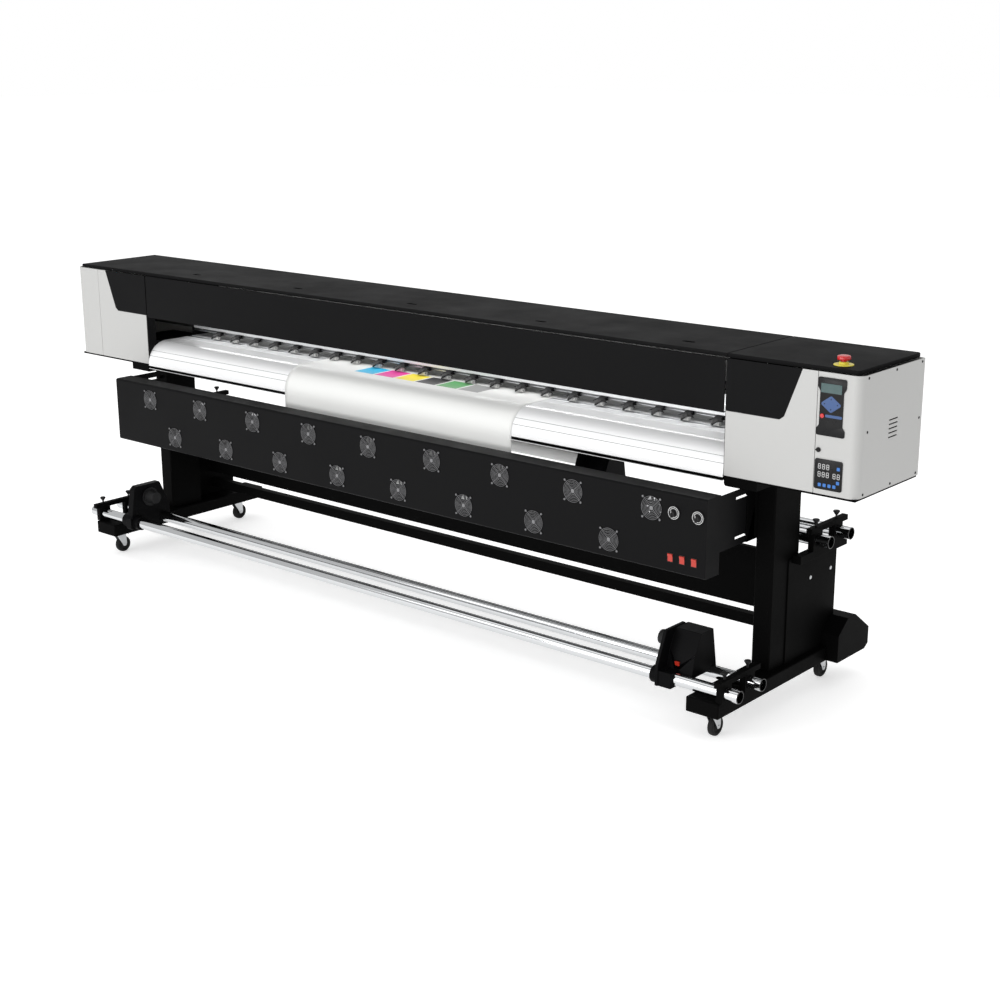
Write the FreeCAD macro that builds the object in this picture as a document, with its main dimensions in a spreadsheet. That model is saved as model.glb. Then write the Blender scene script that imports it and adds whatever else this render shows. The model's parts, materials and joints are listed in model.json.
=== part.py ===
import FreeCAD, Part
import math
import os
from types import SimpleNamespace

import Sketcher
from FreeCAD import Placement, Rotation, Vector

# A 3.2 m class roll-to-roll inkjet printer on a stand, with a feed unit at the rear, a dryer box
# with fans at the front and a take-up unit near the floor.  Millimetres, +Z up, front towards -Y.
# The origin is on the floor, at the middle of the rectangle that the two feet stand in.

doc = FreeCAD.newDocument("printer")

# ---------------------------------------------------------------- driving dimensions

DIMENSIONS = [
    ("opening_length", 3400, "clear length between the two end housings"),
    ("housing_length", 552, "end housing, from the opening to its outer end"),
    ("body_front", 240, "front face of the body, ahead of the origin"),
    ("body_depth", 468, "body, front to back"),
    ("body_bottom", 963, "underside of the body above the floor"),
    ("body_height", 442, "body, underside to the underside of the lid"),
    ("skin", 3, "thickness of the cover sheets"),
    ("lid_thick", 15, "thickness of the top lid"),
    ("lid_back", 14, "overhang of the lid behind the body"),
    ("cap_corner", 36, "radius of the upright front corner of an end housing"),
    ("seam_out", 380, "opening to the seam between front panel and end cap"),
    ("inset_top", 316, "opening to the outer top corner of the dark inset"),
    ("inset_foot", 243, "opening to the outer bottom corner of the dark inset"),
    ("inset_rise", 246, "lower edge of the dark inset above the body's underside"),
    ("flap_rise", 237, "lower edge of the front flap above the body's underside"),
    ("platen_rise", 108, "printing surface above the body's underside"),
    ("heater_bend", 110, "bend radius of the front heater plate"),
    ("guide_bend", 60, "bend radius of the rear guide plate"),
    ("leg_out", 104, "end of the opening to the middle of a foot"),
    ("foot_length", 990, "length of a foot, front to back"),
    ("foot_width", 144, "width of a foot"),
    ("foot_height", 60, "height of a foot"),
    ("foot_bottom", 110, "height of a castor"),
    ("column_width", 80, "column, along the machine"),
    ("column_depth", 190, "column, front to back"),
    ("saddle_height", 41, "height of the beams that carry the body"),
    ("dryer_overlap", 48, "reach of the dryer box past each end of the opening"),
    ("dryer_front", 414, "front face of the dryer box, ahead of the origin"),
    ("dryer_depth", 93, "dryer box, front to back"),
    ("dryer_drop", 51, "top of the dryer box below the body's underside"),
    ("dryer_height", 307, "height of the dryer box"),
    ("fan_margin", 256, "end of the dryer box to the upper row of fans, on average"),
    ("fan_hole", 43, "radius of a fan opening"),
    ("rod_radius", 25, "radius of the roll-carrying rods"),
    ("rod_out", 242, "end of the opening to the end of a rod"),
    ("rod_gap", 158, "spacing of the two rods of a pair"),
    ("takeup_inset", 42, "front take-up rod, behind the front end of the feet"),
    ("takeup_level", 205, "take-up rods above the floor"),
    ("feed_front", 166, "front feed rod, behind the origin"),
    ("feed_drop", 311, "feed rods below the body's underside"),
    ("core_rise", 120, "core axis above its rods"),
    ("wheel_radius", 40, "radius of a castor wheel"),
    ("castor_trail", 22, "castor wheel axle behind its swivel axis"),
    ("pinch_pitch", 142, "spacing of the pinch rollers"),
    ("web_width", 1370, "width of the loaded media"),
]

sheet = doc.addObject("Spreadsheet::Sheet", "dims")
for row, (alias, value, note) in enumerate(DIMENSIONS, start=1):
    sheet.set("A%d" % row, alias)
    sheet.set("B%d" % row, str(value))
    sheet.set("C%d" % row, note)
    sheet.setAlias("B%d" % row, alias)
doc.recompute()


class Size:
    """A length that carries its number and the spreadsheet expression that drives it."""

    def __init__(self, value, text):
        self.value = float(value)
        self.text = text

    def _join(self, other, sign, swap=False):
        other = other if isinstance(other, Size) else Size(other, repr(float(other)))
        left, right = (other, self) if swap else (self, other)
        results = {
            "+": left.value + right.value,
            "-": left.value - right.value,
            "*": left.value * right.value,
            "/": left.value / right.value if right.value else 0.0,
        }
        return Size(results[sign], "(%s %s %s)" % (left.text, sign, right.text))

    def __add__(self, other):
        return self._join(other, "+")

    def __radd__(self, other):
        return self._join(other, "+", swap=True)

    def __sub__(self, other):
        return self._join(other, "-")

    def __rsub__(self, other):
        return self._join(other, "-", swap=True)

    def __mul__(self, other):
        return self._join(other, "*")

    def __rmul__(self, other):
        return self._join(other, "*", swap=True)

    def __truediv__(self, other):
        return self._join(other, "/")

    def __neg__(self):
        return self._join(0, "-", swap=True)


d = SimpleNamespace(**{alias: Size(value, "dims." + alias) for alias, value, note in DIMENSIONS})

# Clearances that several fits share
SLIDE = 0.1      # radial clearance of a sliding or turning bore on its rod
BEARING = 0.05   # radial clearance of a shaft in a bearing
GAP = 0.4        # gap between pieces that move past each other
SEAM = 1.6       # joint between two cover sheets


def number(size):
    return size.value if isinstance(size, Size) else float(size)


def bind(item, prop, size):
    """Set a property, and drive it from the spreadsheet when the size comes from there."""
    if isinstance(size, Size):
        item.setExpression(prop, size.text)
        return
    owner = item
    steps = prop.split(".")
    if len(steps) == 1:
        setattr(owner, prop, size)
    else:
        base = item.Placement.Base
        setattr(base, steps[-1], float(size))
        item.Placement = Placement(base, item.Placement.Rotation)


def place(item, at):
    for axis, size in zip("xyz", at):
        bind(item, "Placement.Base." + axis, size)


# ---------------------------------------------------------------- shape helpers

TURN = {
    "x": Rotation(Vector(0, 1, 0), 90),
    "y": Rotation(Vector(1, 0, 0), -90),
    "z": Rotation(),
}


def box(name, low, high):
    """A block between two opposite corners."""
    item = doc.addObject("Part::Box", name)
    for prop, start, end in zip(("Length", "Width", "Height"), low, high):
        bind(item, prop, end - start)
    place(item, low)
    return item


def cylinder(name, axis, at, radius, length):
    """A cylinder that starts at a point and runs along +x, +y or +z."""
    item = doc.addObject("Part::Cylinder", name)
    item.Placement = Placement(Vector(), TURN[axis])
    bind(item, "Radius", radius)
    bind(item, "Height", length)
    place(item, at)
    return item


def cone(name, axis, at, radius_near, radius_far, length):
    item = doc.addObject("Part::Cone", name)
    item.Placement = Placement(Vector(), TURN[axis])
    bind(item, "Radius1", radius_near)
    bind(item, "Radius2", radius_far)
    bind(item, "Height", length)
    place(item, at)
    return item


def group(name, items):
    """Several separate solids under one name."""
    item = doc.addObject("Part::Compound", name)
    item.Links = list(items)
    return item


def fuse(name, items):
    item = doc.addObject("Part::MultiFuse", name)
    item.Shapes = list(items)
    return item


def cut(name, base, tools):
    tools = list(tools)
    item = doc.addObject("Part::Cut", name)
    item.Base = base
    item.Tool = tools[0] if len(tools) == 1 else group(name + "_tools", tools)
    return item


def mirror(name, source):
    """The mirror image on the other side of the machine's centre plane."""
    item = doc.addObject("Part::Mirroring", name)
    item.Source = source
    item.Base = Vector(0, 0, 0)
    item.Normal = Vector(1, 0, 0)
    return item


def soften(name, source, radius, wanted):
    """Round the edges of a shape that a test picks out."""
    doc.recompute()
    edges = [
        (index, radius, radius)
        for index, edge in enumerate(source.Shape.Edges, start=1)
        if wanted(edge)
    ]
    item = doc.addObject("Part::Fillet", name)
    item.Base = source
    item.Edges = edges
    return item


def runs_along(edge, axis):
    """True for a straight edge that runs along the named axis."""
    if not isinstance(edge.Curve, (Part.Line, Part.LineSegment)):
        return False
    direction = edge.tangentAt(edge.FirstParameter)
    return abs(getattr(direction, axis)) > 0.999


def copies(name, master, offsets):
    """A row of equal, separate solids: one master shape repeated at each offset."""
    doc.recompute()
    item = doc.addObject("Part::Feature", name)
    shapes = []
    for offset in offsets:
        shape = master.Shape.copy()
        shape.translate(Vector(*offset))
        shapes.append(shape)
    item.Shape = Part.makeCompound(shapes)
    return item


PLANES = {"xy": "XY_Plane", "xz": "XZ_Plane", "yz": "YZ_Plane"}


def new_sketch(body, plane):
    sketch = body.newObject("Sketcher::SketchObject", body.Name + "_sketch")
    support = [f for f in body.Origin.OriginFeatures if f.Role == PLANES[plane]][0]
    sketch.AttachmentSupport = [(support, "")]
    sketch.MapMode = "FlatFace"
    return sketch


def pad(body, sketch, length, midplane=False):
    item = body.newObject("PartDesign::Pad", body.Name + "_pad")
    item.Profile = sketch
    bind(item, "Length", length)
    item.Midplane = midplane
    body.Tip = item
    return item


def prism(name, plane, points, length, at=(0, 0, 0), midplane=False):
    """A polygon, each corner held by two driven sketch dimensions, padded square to its plane."""
    body = doc.addObject("PartDesign::Body", name)
    sketch = new_sketch(body, plane)
    corners = [Vector(number(u), number(v), 0) for u, v in points]
    count = len(corners)
    for i in range(count):
        sketch.addGeometry(Part.LineSegment(corners[i], corners[(i + 1) % count]), False)
    for i in range(count):
        sketch.addConstraint(Sketcher.Constraint("Coincident", i, 2, (i + 1) % count, 1))
    for i, (u, v) in enumerate(points):
        for kind, size in (("DistanceX", u), ("DistanceY", v)):
            held = Sketcher.Constraint(kind, -1, 1, i, 1, number(size))
            place_in_list = sketch.addConstraint(held)
            if isinstance(size, Size):
                sketch.setExpression("Constraints[%d]" % place_in_list, size.text)
    pad(body, sketch, length, midplane)
    place(body, at)
    return body


def bent_sheet(name, edge_y, flat_y, top, bottom, bend, thick, length):
    """A sheet that lies flat, bends down through a quarter turn and hangs: edge_y is the outer
    face of the hanging part, flat_y the far edge of the flat part."""
    front = -1.0 if number(edge_y) < number(flat_y) else 1.0
    body = doc.addObject("PartDesign::Body", name)
    sketch = new_sketch(body, "yz")
    outer, inner = number(bend), number(bend - thick)
    centre_y = number(edge_y) - front * outer
    centre_z = number(top) - outer
    far, low = number(flat_y), number(bottom)

    def arc(radius):
        start, end = (0.0, 1.5707963) if front > 0 else (1.5707963, 3.1415927)
        circle = Part.Circle(Vector(centre_y, centre_z, 0), Vector(0, 0, 1), radius)
        return Part.ArcOfCircle(circle, start, end)

    def line(y0, z0, y1, z1):
        return Part.LineSegment(Vector(y0, z0, 0), Vector(y1, z1, 0))

    for radius in (outer, inner):
        face = centre_y + front * radius
        sketch.addGeometry(line(face, low, face, centre_z), False)
        sketch.addGeometry(arc(radius), False)
        sketch.addGeometry(line(centre_y, centre_z + radius, far, centre_z + radius), False)
    sketch.addGeometry(line(far, centre_z + outer, far, centre_z + inner), False)
    sketch.addGeometry(line(centre_y + front * outer, low, centre_y + front * inner, low), False)
    hang_end, top_end = (1, 2) if front > 0 else (2, 1)
    for first in (0, 3):
        sketch.addConstraint(Sketcher.Constraint("Vertical", first))
        sketch.addConstraint(Sketcher.Constraint("Horizontal", first + 2))
        sketch.addConstraint(Sketcher.Constraint("Tangent", first, 2, first + 1, hang_end))
        sketch.addConstraint(Sketcher.Constraint("Tangent", first + 2, 1, first + 1, top_end))
    sketch.addConstraint(Sketcher.Constraint("Coincident", 1, 3, 4, 3))
    sketch.addConstraint(Sketcher.Constraint("Coincident", 2, 2, 6, 1))
    sketch.addConstraint(Sketcher.Constraint("Coincident", 5, 2, 6, 2))
    sketch.addConstraint(Sketcher.Constraint("Coincident", 0, 1, 7, 1))
    sketch.addConstraint(Sketcher.Constraint("Coincident", 3, 1, 7, 2))
    sketch.addConstraint(Sketcher.Constraint("Vertical", 6))
    sketch.addConstraint(Sketcher.Constraint("Horizontal", 7))
    driven = [
        (Sketcher.Constraint("Radius", 1, outer), bend),
        (Sketcher.Constraint("Radius", 4, inner), bend - thick),
        (Sketcher.Constraint("DistanceX", -1, 1, 0, 1, number(edge_y)), edge_y),
        (Sketcher.Constraint("DistanceY", -1, 1, 2, 2, number(top)), top),
        (Sketcher.Constraint("DistanceX", -1, 1, 2, 2, far), flat_y),
        (Sketcher.Constraint("DistanceY", -1, 1, 0, 1, low), bottom),
    ]
    for held, size in driven:
        place_in_list = sketch.addConstraint(held)
        if isinstance(size, Size):
            sketch.setExpression("Constraints[%d]" % place_in_list, size.text)
    pad(body, sketch, length, midplane=True)
    return body


parts = {}


def keep(name, item):
    """Name a finished sub-part: its label is the name of its file."""
    item.Label = name
    parts[name] = item
    return item


# ---------------------------------------------------------------- stand

opening_end = d.opening_length / 2
seam = opening_end + d.seam_out
body_end = opening_end + d.housing_length
body_back = d.body_depth - d.body_front
body_top = d.body_bottom + d.body_height
leg = opening_end + d.leg_out
foot_top = d.foot_bottom + d.foot_height
foot_in = leg - d.foot_width / 2
foot_out = leg + d.foot_width / 2
foot_end = d.foot_length / 2
column_in = leg - d.column_width / 2
column_out = leg + d.column_width / 2
column_front = -d.column_depth / 2
saddle_bottom = d.body_bottom - d.saddle_height
feed_level = d.body_bottom - d.feed_drop
side_top = feed_level - 52

foot_block = box("foot_block", (foot_in, -foot_end, d.foot_bottom), (foot_out, foot_end, foot_top))
foot_soft = soften("foot_soft", foot_block, 5.0, lambda edge: True)
FOOT_WALL = 5
foot_bore = box("foot_bore", (foot_in + FOOT_WALL, FOOT_WALL - foot_end, d.foot_bottom + FOOT_WALL),
                (foot_out - FOOT_WALL, foot_end - FOOT_WALL, foot_top - FOOT_WALL))
foot_right = cut("foot_right", foot_soft, [foot_bore])
keep("feet", group("foot_pair", [foot_right, mirror("foot_left", foot_right)]))

column_block = box("column_block", (column_in, column_front, foot_top),
                   (column_out, -column_front, saddle_bottom))
column_soft = soften("column_soft", column_block, 6.0, lambda edge: runs_along(edge, "z"))
column_bore = box("column_bore", (column_in + d.skin, column_front + d.skin, foot_top - 1),
                  (column_out - d.skin, -column_front - d.skin, saddle_bottom + 1))
column_right = cut("column_right", column_soft, [column_bore])
keep("columns", group("column_pair", [column_right, mirror("column_left", column_right)]))

SIDE_THICK = 5
side_out = column_out + SIDE_THICK
side_front = 15
side_back = 385
side_right = box("side_right", (column_out, side_front, foot_top), (side_out, side_back, side_top))
keep("side_plates", group("side_pair", [side_right, mirror("side_left", side_right)]))

CROSS_DEPTH = 25
BAR_DEPTH = 40
BAR_HEIGHT = 47
cross_front = 229
cross_low = foot_top + 120
cross_high = side_top - 60
cross_back = cross_front + CROSS_DEPTH
cross_sheet = box("cross_sheet", (-column_out, cross_front, cross_low),
                  (column_out, cross_back, cross_high))
cross_room = box("cross_room", (-column_out - 1, cross_front + d.skin, cross_low + d.skin),
                 (column_out + 1, cross_back + 1, cross_high - d.skin))
keep("cross_panel", cut("cross_channel", cross_sheet, [cross_room]))
bar_low = foot_top + 37
bar_back = cross_front + BAR_DEPTH
bar_top = bar_low + BAR_HEIGHT
bar_block = box("bar_block", (-column_out, cross_front, bar_low), (column_out, bar_back, bar_top))
bar_bore = box("bar_bore", (-column_out - 1, cross_front + d.skin, bar_low + d.skin),
               (column_out + 1, bar_back - d.skin, bar_top - d.skin))
keep("crossbar", cut("crossbar_tube", bar_block, [bar_bore]))

# Power box: a chamfered housing around the rear end of the right foot
power_in = leg - 22
power_out = foot_out + 52
power_back = foot_end + 48
power_front = power_back - 250


def power_outline(inset):
    """The side view of the power box, or of its inside when inset is the wall thickness."""
    bottom = d.foot_bottom + 2 + inset
    slope = inset / 3
    return [
        (power_front + inset, bottom), (power_back - 28 - slope, bottom),
        (power_back - inset, bottom + 18 - inset + slope), (power_back - inset, bottom + 90 - inset),
        (power_back - 116 - slope, d.foot_bottom + 175 - inset),
        (power_back - 178 + slope, d.foot_bottom + 175 - inset),
        (power_front + inset, d.foot_bottom + 116 - slope),
    ]


POWER_WALL = 3
power_block = prism("power_block", "yz", power_outline(0), power_out - power_in, at=(power_in, 0, 0))
power_bore = prism("power_bore", "yz", power_outline(POWER_WALL), power_out - side_out - 2 * POWER_WALL,
                   at=(side_out + POWER_WALL, 0, 0))
foot_room = box("foot_room", (foot_in - 1, -foot_end, d.foot_bottom - 1),
                (foot_out, foot_end, foot_top))
side_room = box("side_room", (foot_in - 1, 200, d.foot_bottom - 10), (side_out, side_back, 400))
inlet_x = foot_out + 11
inlet_z = d.foot_bottom + 53
inlet_room = box("inlet_room", (inlet_x - 16, power_back - 12, inlet_z - 12),
                 (inlet_x + 16, power_back + 1, inlet_z + 12))
keep("power_box", cut("power_housing", power_block, [power_bore, foot_room, side_room, inlet_room]))

inlet_flange = box("inlet_flange", (inlet_x - 25, power_back, inlet_z - 22),
                   (inlet_x + 25, power_back + 2, inlet_z + 22))
inlet_cup = box("inlet_cup", (inlet_x - 15.6, power_back - 18, inlet_z - 11.6),
                (inlet_x + 15.6, power_back, inlet_z + 11.6))
inlet_hole = box("inlet_hole", (inlet_x - 13, power_back - 15, inlet_z - 9),
                 (inlet_x + 13, power_back + 3, inlet_z + 9))
inlet_pins = [
    box("inlet_pin_%d" % i, (inlet_x + x, power_back - 16, inlet_z + z),
        (inlet_x + x + 2, power_back - 6, inlet_z + z + 5))
    for i, (x, z) in enumerate([(-8, -5), (6, -5), (-1, 0)])
]
inlet_body = cut("inlet_body", fuse("inlet_solid", [inlet_flange, inlet_cup]), [inlet_hole])
keep("power_inlet", fuse("inlet", [inlet_body] + inlet_pins))

# ---------------------------------------------------------------- castors

stem_front = 75 - foot_end
stem_rear = foot_end - 135
STEMS = {
    "front_left": (-1, stem_front),
    "front_right": (1, stem_front),
    "rear_left": (-1, stem_rear),
    "rear_right": (1, stem_rear),
}
axle_half = 17
for corner, (side, stem_y) in STEMS.items():
    x = side * leg
    axle_y = d.castor_trail + stem_y
    head = cylinder("head_" + corner, "z", (x, stem_y, d.foot_bottom - 14), 24, 14 - GAP)
    cheeks = []
    for i, inner in enumerate((-axle_half, axle_half - 3)):
        cheeks.append(prism(
            "cheek_%s_%d" % (corner, i), "yz",
            [(stem_y - 22, d.foot_bottom - 14), (stem_y + 26, d.foot_bottom - 14),
             (stem_y + 24 + 8, d.wheel_radius + 4), (stem_y + 24 + 4, d.wheel_radius - 8),
             (stem_y + 14, d.wheel_radius - 8), (stem_y + 10, d.wheel_radius + 2)],
            3, at=(x + inner, 0, 0)))
    crown = box("crown_" + corner, (x - axle_half, stem_y - 22, d.foot_bottom - 18),
                (x + axle_half, stem_y + 26, d.foot_bottom - 14))
    axle = cylinder("axle_" + corner, "x", (x - axle_half - 2, axle_y, d.wheel_radius), 4,
                    2 * axle_half + 4)
    lever = box("lever_" + corner, (x - 12, stem_y + 26, d.foot_bottom - 22),
                (x + 12, stem_y + 58, d.foot_bottom - 18))
    keep("castor_fork_" + corner, fuse("fork_" + corner, [head, crown, axle, lever] + cheeks))
    tyre = cylinder("tyre_" + corner, "x", (x - 12, axle_y, d.wheel_radius), d.wheel_radius, 24)
    tyre_soft = soften("tyre_soft_" + corner, tyre, 4.0, lambda edge: edge.Curve.TypeId ==
                       "Part::GeomCircle")
    bore = cylinder("bore_" + corner, "x", (x - 13, axle_y, d.wheel_radius), 4 + BEARING, 26)
    keep("castor_wheel_" + corner, cut("wheel_" + corner, tyre_soft, [bore]))

# ---------------------------------------------------------------- body frame

TRAY_DEPTH = 8
tray_bottom = d.body_bottom - TRAY_DEPTH
saddle_block = box("saddle_block", (opening_end + 1, -d.body_front + 4, saddle_bottom),
                   (column_out, body_back - 3, tray_bottom))


def saddle_corner(edge):
    near_opening = edge.CenterOfMass.x < number(opening_end) + 2
    return near_opening and runs_along(edge, "y") and edge.CenterOfMass.z < number(saddle_bottom) + 1


saddle = soften("saddle_right", saddle_block, 12.0, saddle_corner)
tray_block = box("tray_block", (opening_end + 1, -d.body_front + 2, tray_bottom),
                 (body_end - 4, body_back - 2, d.body_bottom))
tray_room = box("tray_room", (column_out + 1, -d.body_front + 4, tray_bottom - 1),
                (body_end - 6, body_back - 4, d.body_bottom - 2))
tray = cut("tray_right", tray_block, [tray_room])
beam_end = seam - 20
beam_front = -20
beam_back = 200
beam_top = d.body_bottom + 77
BEAM_WALL = 4
beam_block = box("beam_block", (-beam_end, beam_front, d.body_bottom), (beam_end, beam_back, beam_top))
beam_bore = box("beam_bore", (-beam_end - 1, beam_front + BEAM_WALL, d.body_bottom + BEAM_WALL),
                (beam_end + 1, beam_back - BEAM_WALL, beam_top - BEAM_WALL))
chassis_beam = cut("chassis_beam", beam_block, [beam_bore])
heater_lip = box("heater_lip", (-opening_end - 1, -d.body_front - 1, d.body_bottom - 19),
                 (opening_end + 1, -d.body_front + 40, tray_bottom))
support = fuse("support_right", [saddle, tray])
keep("chassis", group("chassis_set", [
    chassis_beam, support, mirror("support_left", support), heater_lip]))

# ---------------------------------------------------------------- covers

cap_block = box("cap_block", (seam, -d.body_front, d.body_bottom), (body_end, body_back, body_top))


def outer_corner(edge):
    at_end = edge.CenterOfMass.x > number(body_end) - 10
    return runs_along(edge, "z") and at_end and edge.CenterOfMass.y < 0


cap_soft = soften("cap_soft", cap_block, number(d.cap_corner), outer_corner)
cap_bore_block = box("cap_bore_block", (seam - 1, -d.body_front + d.skin, d.body_bottom + d.skin),
                     (body_end - d.skin, body_back - d.skin, body_top + 1))


cap_bore = soften("cap_bore", cap_bore_block, number(d.cap_corner - d.skin), outer_corner)
VENT_PITCH = 16
VENT_TALL = 4.5
vent_low = d.body_bottom + 186
vents = [
    box("vent_%d" % i, (body_end - 5, -26, vent_low + VENT_PITCH * i),
        (body_end + 1, 40, vent_low + VENT_PITCH * i + VENT_TALL))
    for i in range(5)
]
POWER_AT = (seam + 24, body_top - 156)
POWER_RADIUS = 8
cap_shell = cut("cap_shell", cap_soft, [cap_bore] + vents)
cap_power_hole = cylinder("cap_power_hole", "y", (POWER_AT[0], -d.body_front - 1, POWER_AT[1]),
                          POWER_RADIUS + GAP, d.skin + 2)
keep("end_cap_right", cut("cap_right", cap_shell, [cap_power_hole]))
keep("end_cap_left", mirror("cap_left", cap_shell))

inset_bottom = d.body_bottom + d.inset_rise
inset_foot = opening_end + d.inset_foot
inset_top = opening_end + d.inset_top
inset_room = prism(
    "inset_room", "xz",
    [(opening_end - 1, inset_bottom), (inset_foot - 14, inset_bottom),
     (inset_foot + 5, inset_bottom + 14), (inset_top, body_top + 1),
     (opening_end - 1, body_top + 1)],
    d.skin + 2, at=(0, -d.body_front + d.skin + 1, 0))
panel_sheet = box("panel_sheet", (opening_end, -d.body_front, d.body_bottom),
                  (seam - SEAM, -d.body_front + d.skin, body_top))
panel_right = cut("panel_right", panel_sheet, [inset_room])
keep("front_panels", group("panel_pair", [panel_right, mirror("panel_left", panel_right)]))

inset_right = prism(
    "inset_right", "xz",
    [(opening_end, inset_bottom + GAP), (inset_foot - 14.2, inset_bottom + GAP),
     (inset_foot + 4.4, inset_bottom + 14.2), (inset_top - GAP, body_top),
     (opening_end, body_top)],
    d.skin, at=(0, -d.body_front + d.skin, 0))
WALL = 6
platen_top = d.body_bottom + d.platen_rise
wall_sheet = box("wall_sheet", (opening_end, -d.body_front + d.skin, d.body_bottom),
                 (opening_end + WALL, body_back - d.skin, body_top))
shaft_y = 62
shaft_z = platen_top + 29
grit_y = 25
grit_radius = 12
grit_z = platen_top + 0.2 - grit_radius
rail_front = 33
guide_front = 45
guide_back = 135
guide_low = platen_top + 41
guide_high = guide_low + 88
rail_low = guide_low + 38
rail_high = rail_low + 15
carriage_top = body_top - 75
FLAP_PIN = 3
flap_pin_y = -d.body_front + 8
flap_pin_z = body_top - 5
wall_holes = [
    box("beam_window", (opening_end - 1, beam_front, d.body_bottom - 1),
        (opening_end + WALL + 1, beam_back, beam_top)),
    cylinder("flap_pin_hole", "x", (opening_end - 1, flap_pin_y, flap_pin_z), FLAP_PIN + BEARING,
             WALL + 2),
    box("carriage_window", (opening_end - 1, -188, platen_top + 3),
        (opening_end + WALL + 1, rail_front + 12.5, carriage_top + 15)),
    box("guide_window", (opening_end - 1, guide_front, guide_low),
        (opening_end + WALL + 1, guide_back, guide_high)),
    box("belt_window", (opening_end - 1, guide_front, guide_high),
        (opening_end + WALL + 1, guide_front + 40, guide_high + 60)),
    cylinder("grit_hole", "x", (opening_end - 1, grit_y, grit_z), 8 + BEARING, WALL + 2),
    cylinder("shaft_hole", "x", (opening_end - 1, shaft_y, shaft_z), 5 + BEARING, WALL + 2),
]
wall_right = cut("wall_right", wall_sheet, wall_holes)
keep("inner_panels", group("inner_set", [
    inset_right, mirror("inset_left", inset_right), wall_right, mirror("wall_left", wall_right)]))

rear_sheet = box("rear_sheet", (-seam, body_back - d.skin, d.body_bottom), (seam, body_back, body_top))
rear_slot = box("rear_slot", (-opening_end + GAP, body_back - d.skin - 1, d.body_bottom - 1),
                (opening_end - GAP, body_back + 1, platen_top + 20))
keep("rear_cover", cut("rear_sheet_cut", rear_sheet, [rear_slot]))

# Lid: two lengths that meet at a seam near the right end housing
lid_front = -d.body_front + 18
lid_rear = body_back + d.lid_back
lid_end = body_end - 22
lid_seam = opening_end - 10
lid_top = body_top + d.lid_thick
recess_pitch = d.opening_length / 4.7
recess_y = -115
recess_z = lid_top - 8


def top_rim(edge):
    return edge.CenterOfMass.z > number(lid_top) - 0.1


def upright(edge):
    return runs_along(edge, "z")


lid_main_block = box("lid_main_block", (-lid_end, lid_front, body_top),
                     (lid_seam - 1, lid_rear, lid_top))
lid_main_soft = soften("lid_main_soft", lid_main_block, 4.0, top_rim)
recesses = []
for i in range(5):
    x = recess_pitch * (i - 2)
    recesses.append(box("recess_mid_%d" % i, (x - 18, recess_y - 10, recess_z),
                        (x + 18, recess_y + 10, lid_top + 1)))
    for j, end in enumerate((-18, 18)):
        recesses.append(cylinder("recess_end_%d_%d" % (i, j), "z", (x + end, recess_y, recess_z),
                                 10, 9))
rib_half = 40
bay_ends = [lid_seam - 4] + [recess_pitch * i - rib_half for i in range(2, -3, -1)]
bay_starts = [recess_pitch * i + rib_half for i in range(2, -3, -1)] + [4 - lid_end]
lid_bays = [
    box("lid_bay_%d" % i, (start, lid_front + 14, body_top - 1), (end, lid_rear - 4, lid_top - 3))
    for i, (start, end) in enumerate(zip(bay_starts, bay_ends))
]
lid_main = cut("lid_main", lid_main_soft, recesses + lid_bays)
lid_right_block = box("lid_right_block", (lid_seam + 1, lid_front, body_top),
                      (lid_end, lid_rear, lid_top))
lid_right_round = soften("lid_right_round", lid_right_block, 16.0,
                         lambda edge: upright(edge) and edge.CenterOfMass.x > number(lid_end) - 1)
lid_right_soft = soften("lid_right_soft", lid_right_round, 4.0, top_rim)
lid_right_bay = box("lid_right_bay", (lid_seam + 5, lid_front + 14, body_top - 1),
                    (lid_end - 190, lid_rear - 4, lid_top - 3))
lid_right = cut("lid_right", lid_right_soft, [lid_right_bay])
keep("lid", group("lid_pair", [lid_main, lid_right]))

flap_end = opening_end - 6
flap_bottom = d.body_bottom + d.flap_rise
flap_sheet = box("flap_sheet", (-flap_end, -d.body_front, flap_bottom),
                 (flap_end, -d.body_front + d.skin, body_top - 1.5))
flap_fold = box("flap_fold", (-flap_end, -d.body_front, flap_bottom),
                (flap_end, -d.body_front + 14, flap_bottom + d.skin))
flap_barrel = cylinder("flap_barrel", "x", (-flap_end, flap_pin_y, flap_pin_z), 4, 2 * flap_end)
flap_pin = cylinder("flap_pin", "x", (-opening_end - WALL + 1, flap_pin_y, flap_pin_z), FLAP_PIN,
                    d.opening_length + 2 * WALL - 2)
flap_tab = box("flap_tab", (-flap_end, -d.body_front + 1, flap_pin_z - 3),
               (flap_end, flap_pin_y, flap_pin_z + 3))
keep("front_flap", fuse("flap", [flap_sheet, flap_fold, flap_barrel, flap_pin, flap_tab]))

# ---------------------------------------------------------------- printing section

PLATEN_THICK = 21
platen_low = platen_top - PLATEN_THICK
strip_front = box("strip_front", (-opening_end, -47.6, platen_low),
                  (opening_end, grit_y - grit_radius - 1, platen_top))
strip_foot = box("strip_foot", (-opening_end, -19.9, beam_top), (opening_end, 10, platen_low))
platen_front = fuse("platen_front", [strip_front, strip_foot])
strip_rear = box("strip_rear", (-opening_end, grit_y + grit_radius + 1, beam_top),
                 (opening_end, 100, platen_top))
keep("platen", group("platen_set", [platen_front, strip_rear]))
keep("front_heater", bent_sheet("heater_sheet", -d.body_front - 3, -48, platen_top, tray_bottom + 1,
                                d.heater_bend, 3, 2 * opening_end))
ROLL_RADIUS = 37
feed_core_y = d.feed_front + d.rod_gap / 2
feed_core_z = feed_level + d.core_rise
guide_face = feed_core_y + ROLL_RADIUS
keep("rear_guide", bent_sheet("guide_sheet", guide_face, 100.4, platen_top, d.body_bottom + 2,
                              d.guide_bend, 3, 2 * opening_end - 2))

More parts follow.
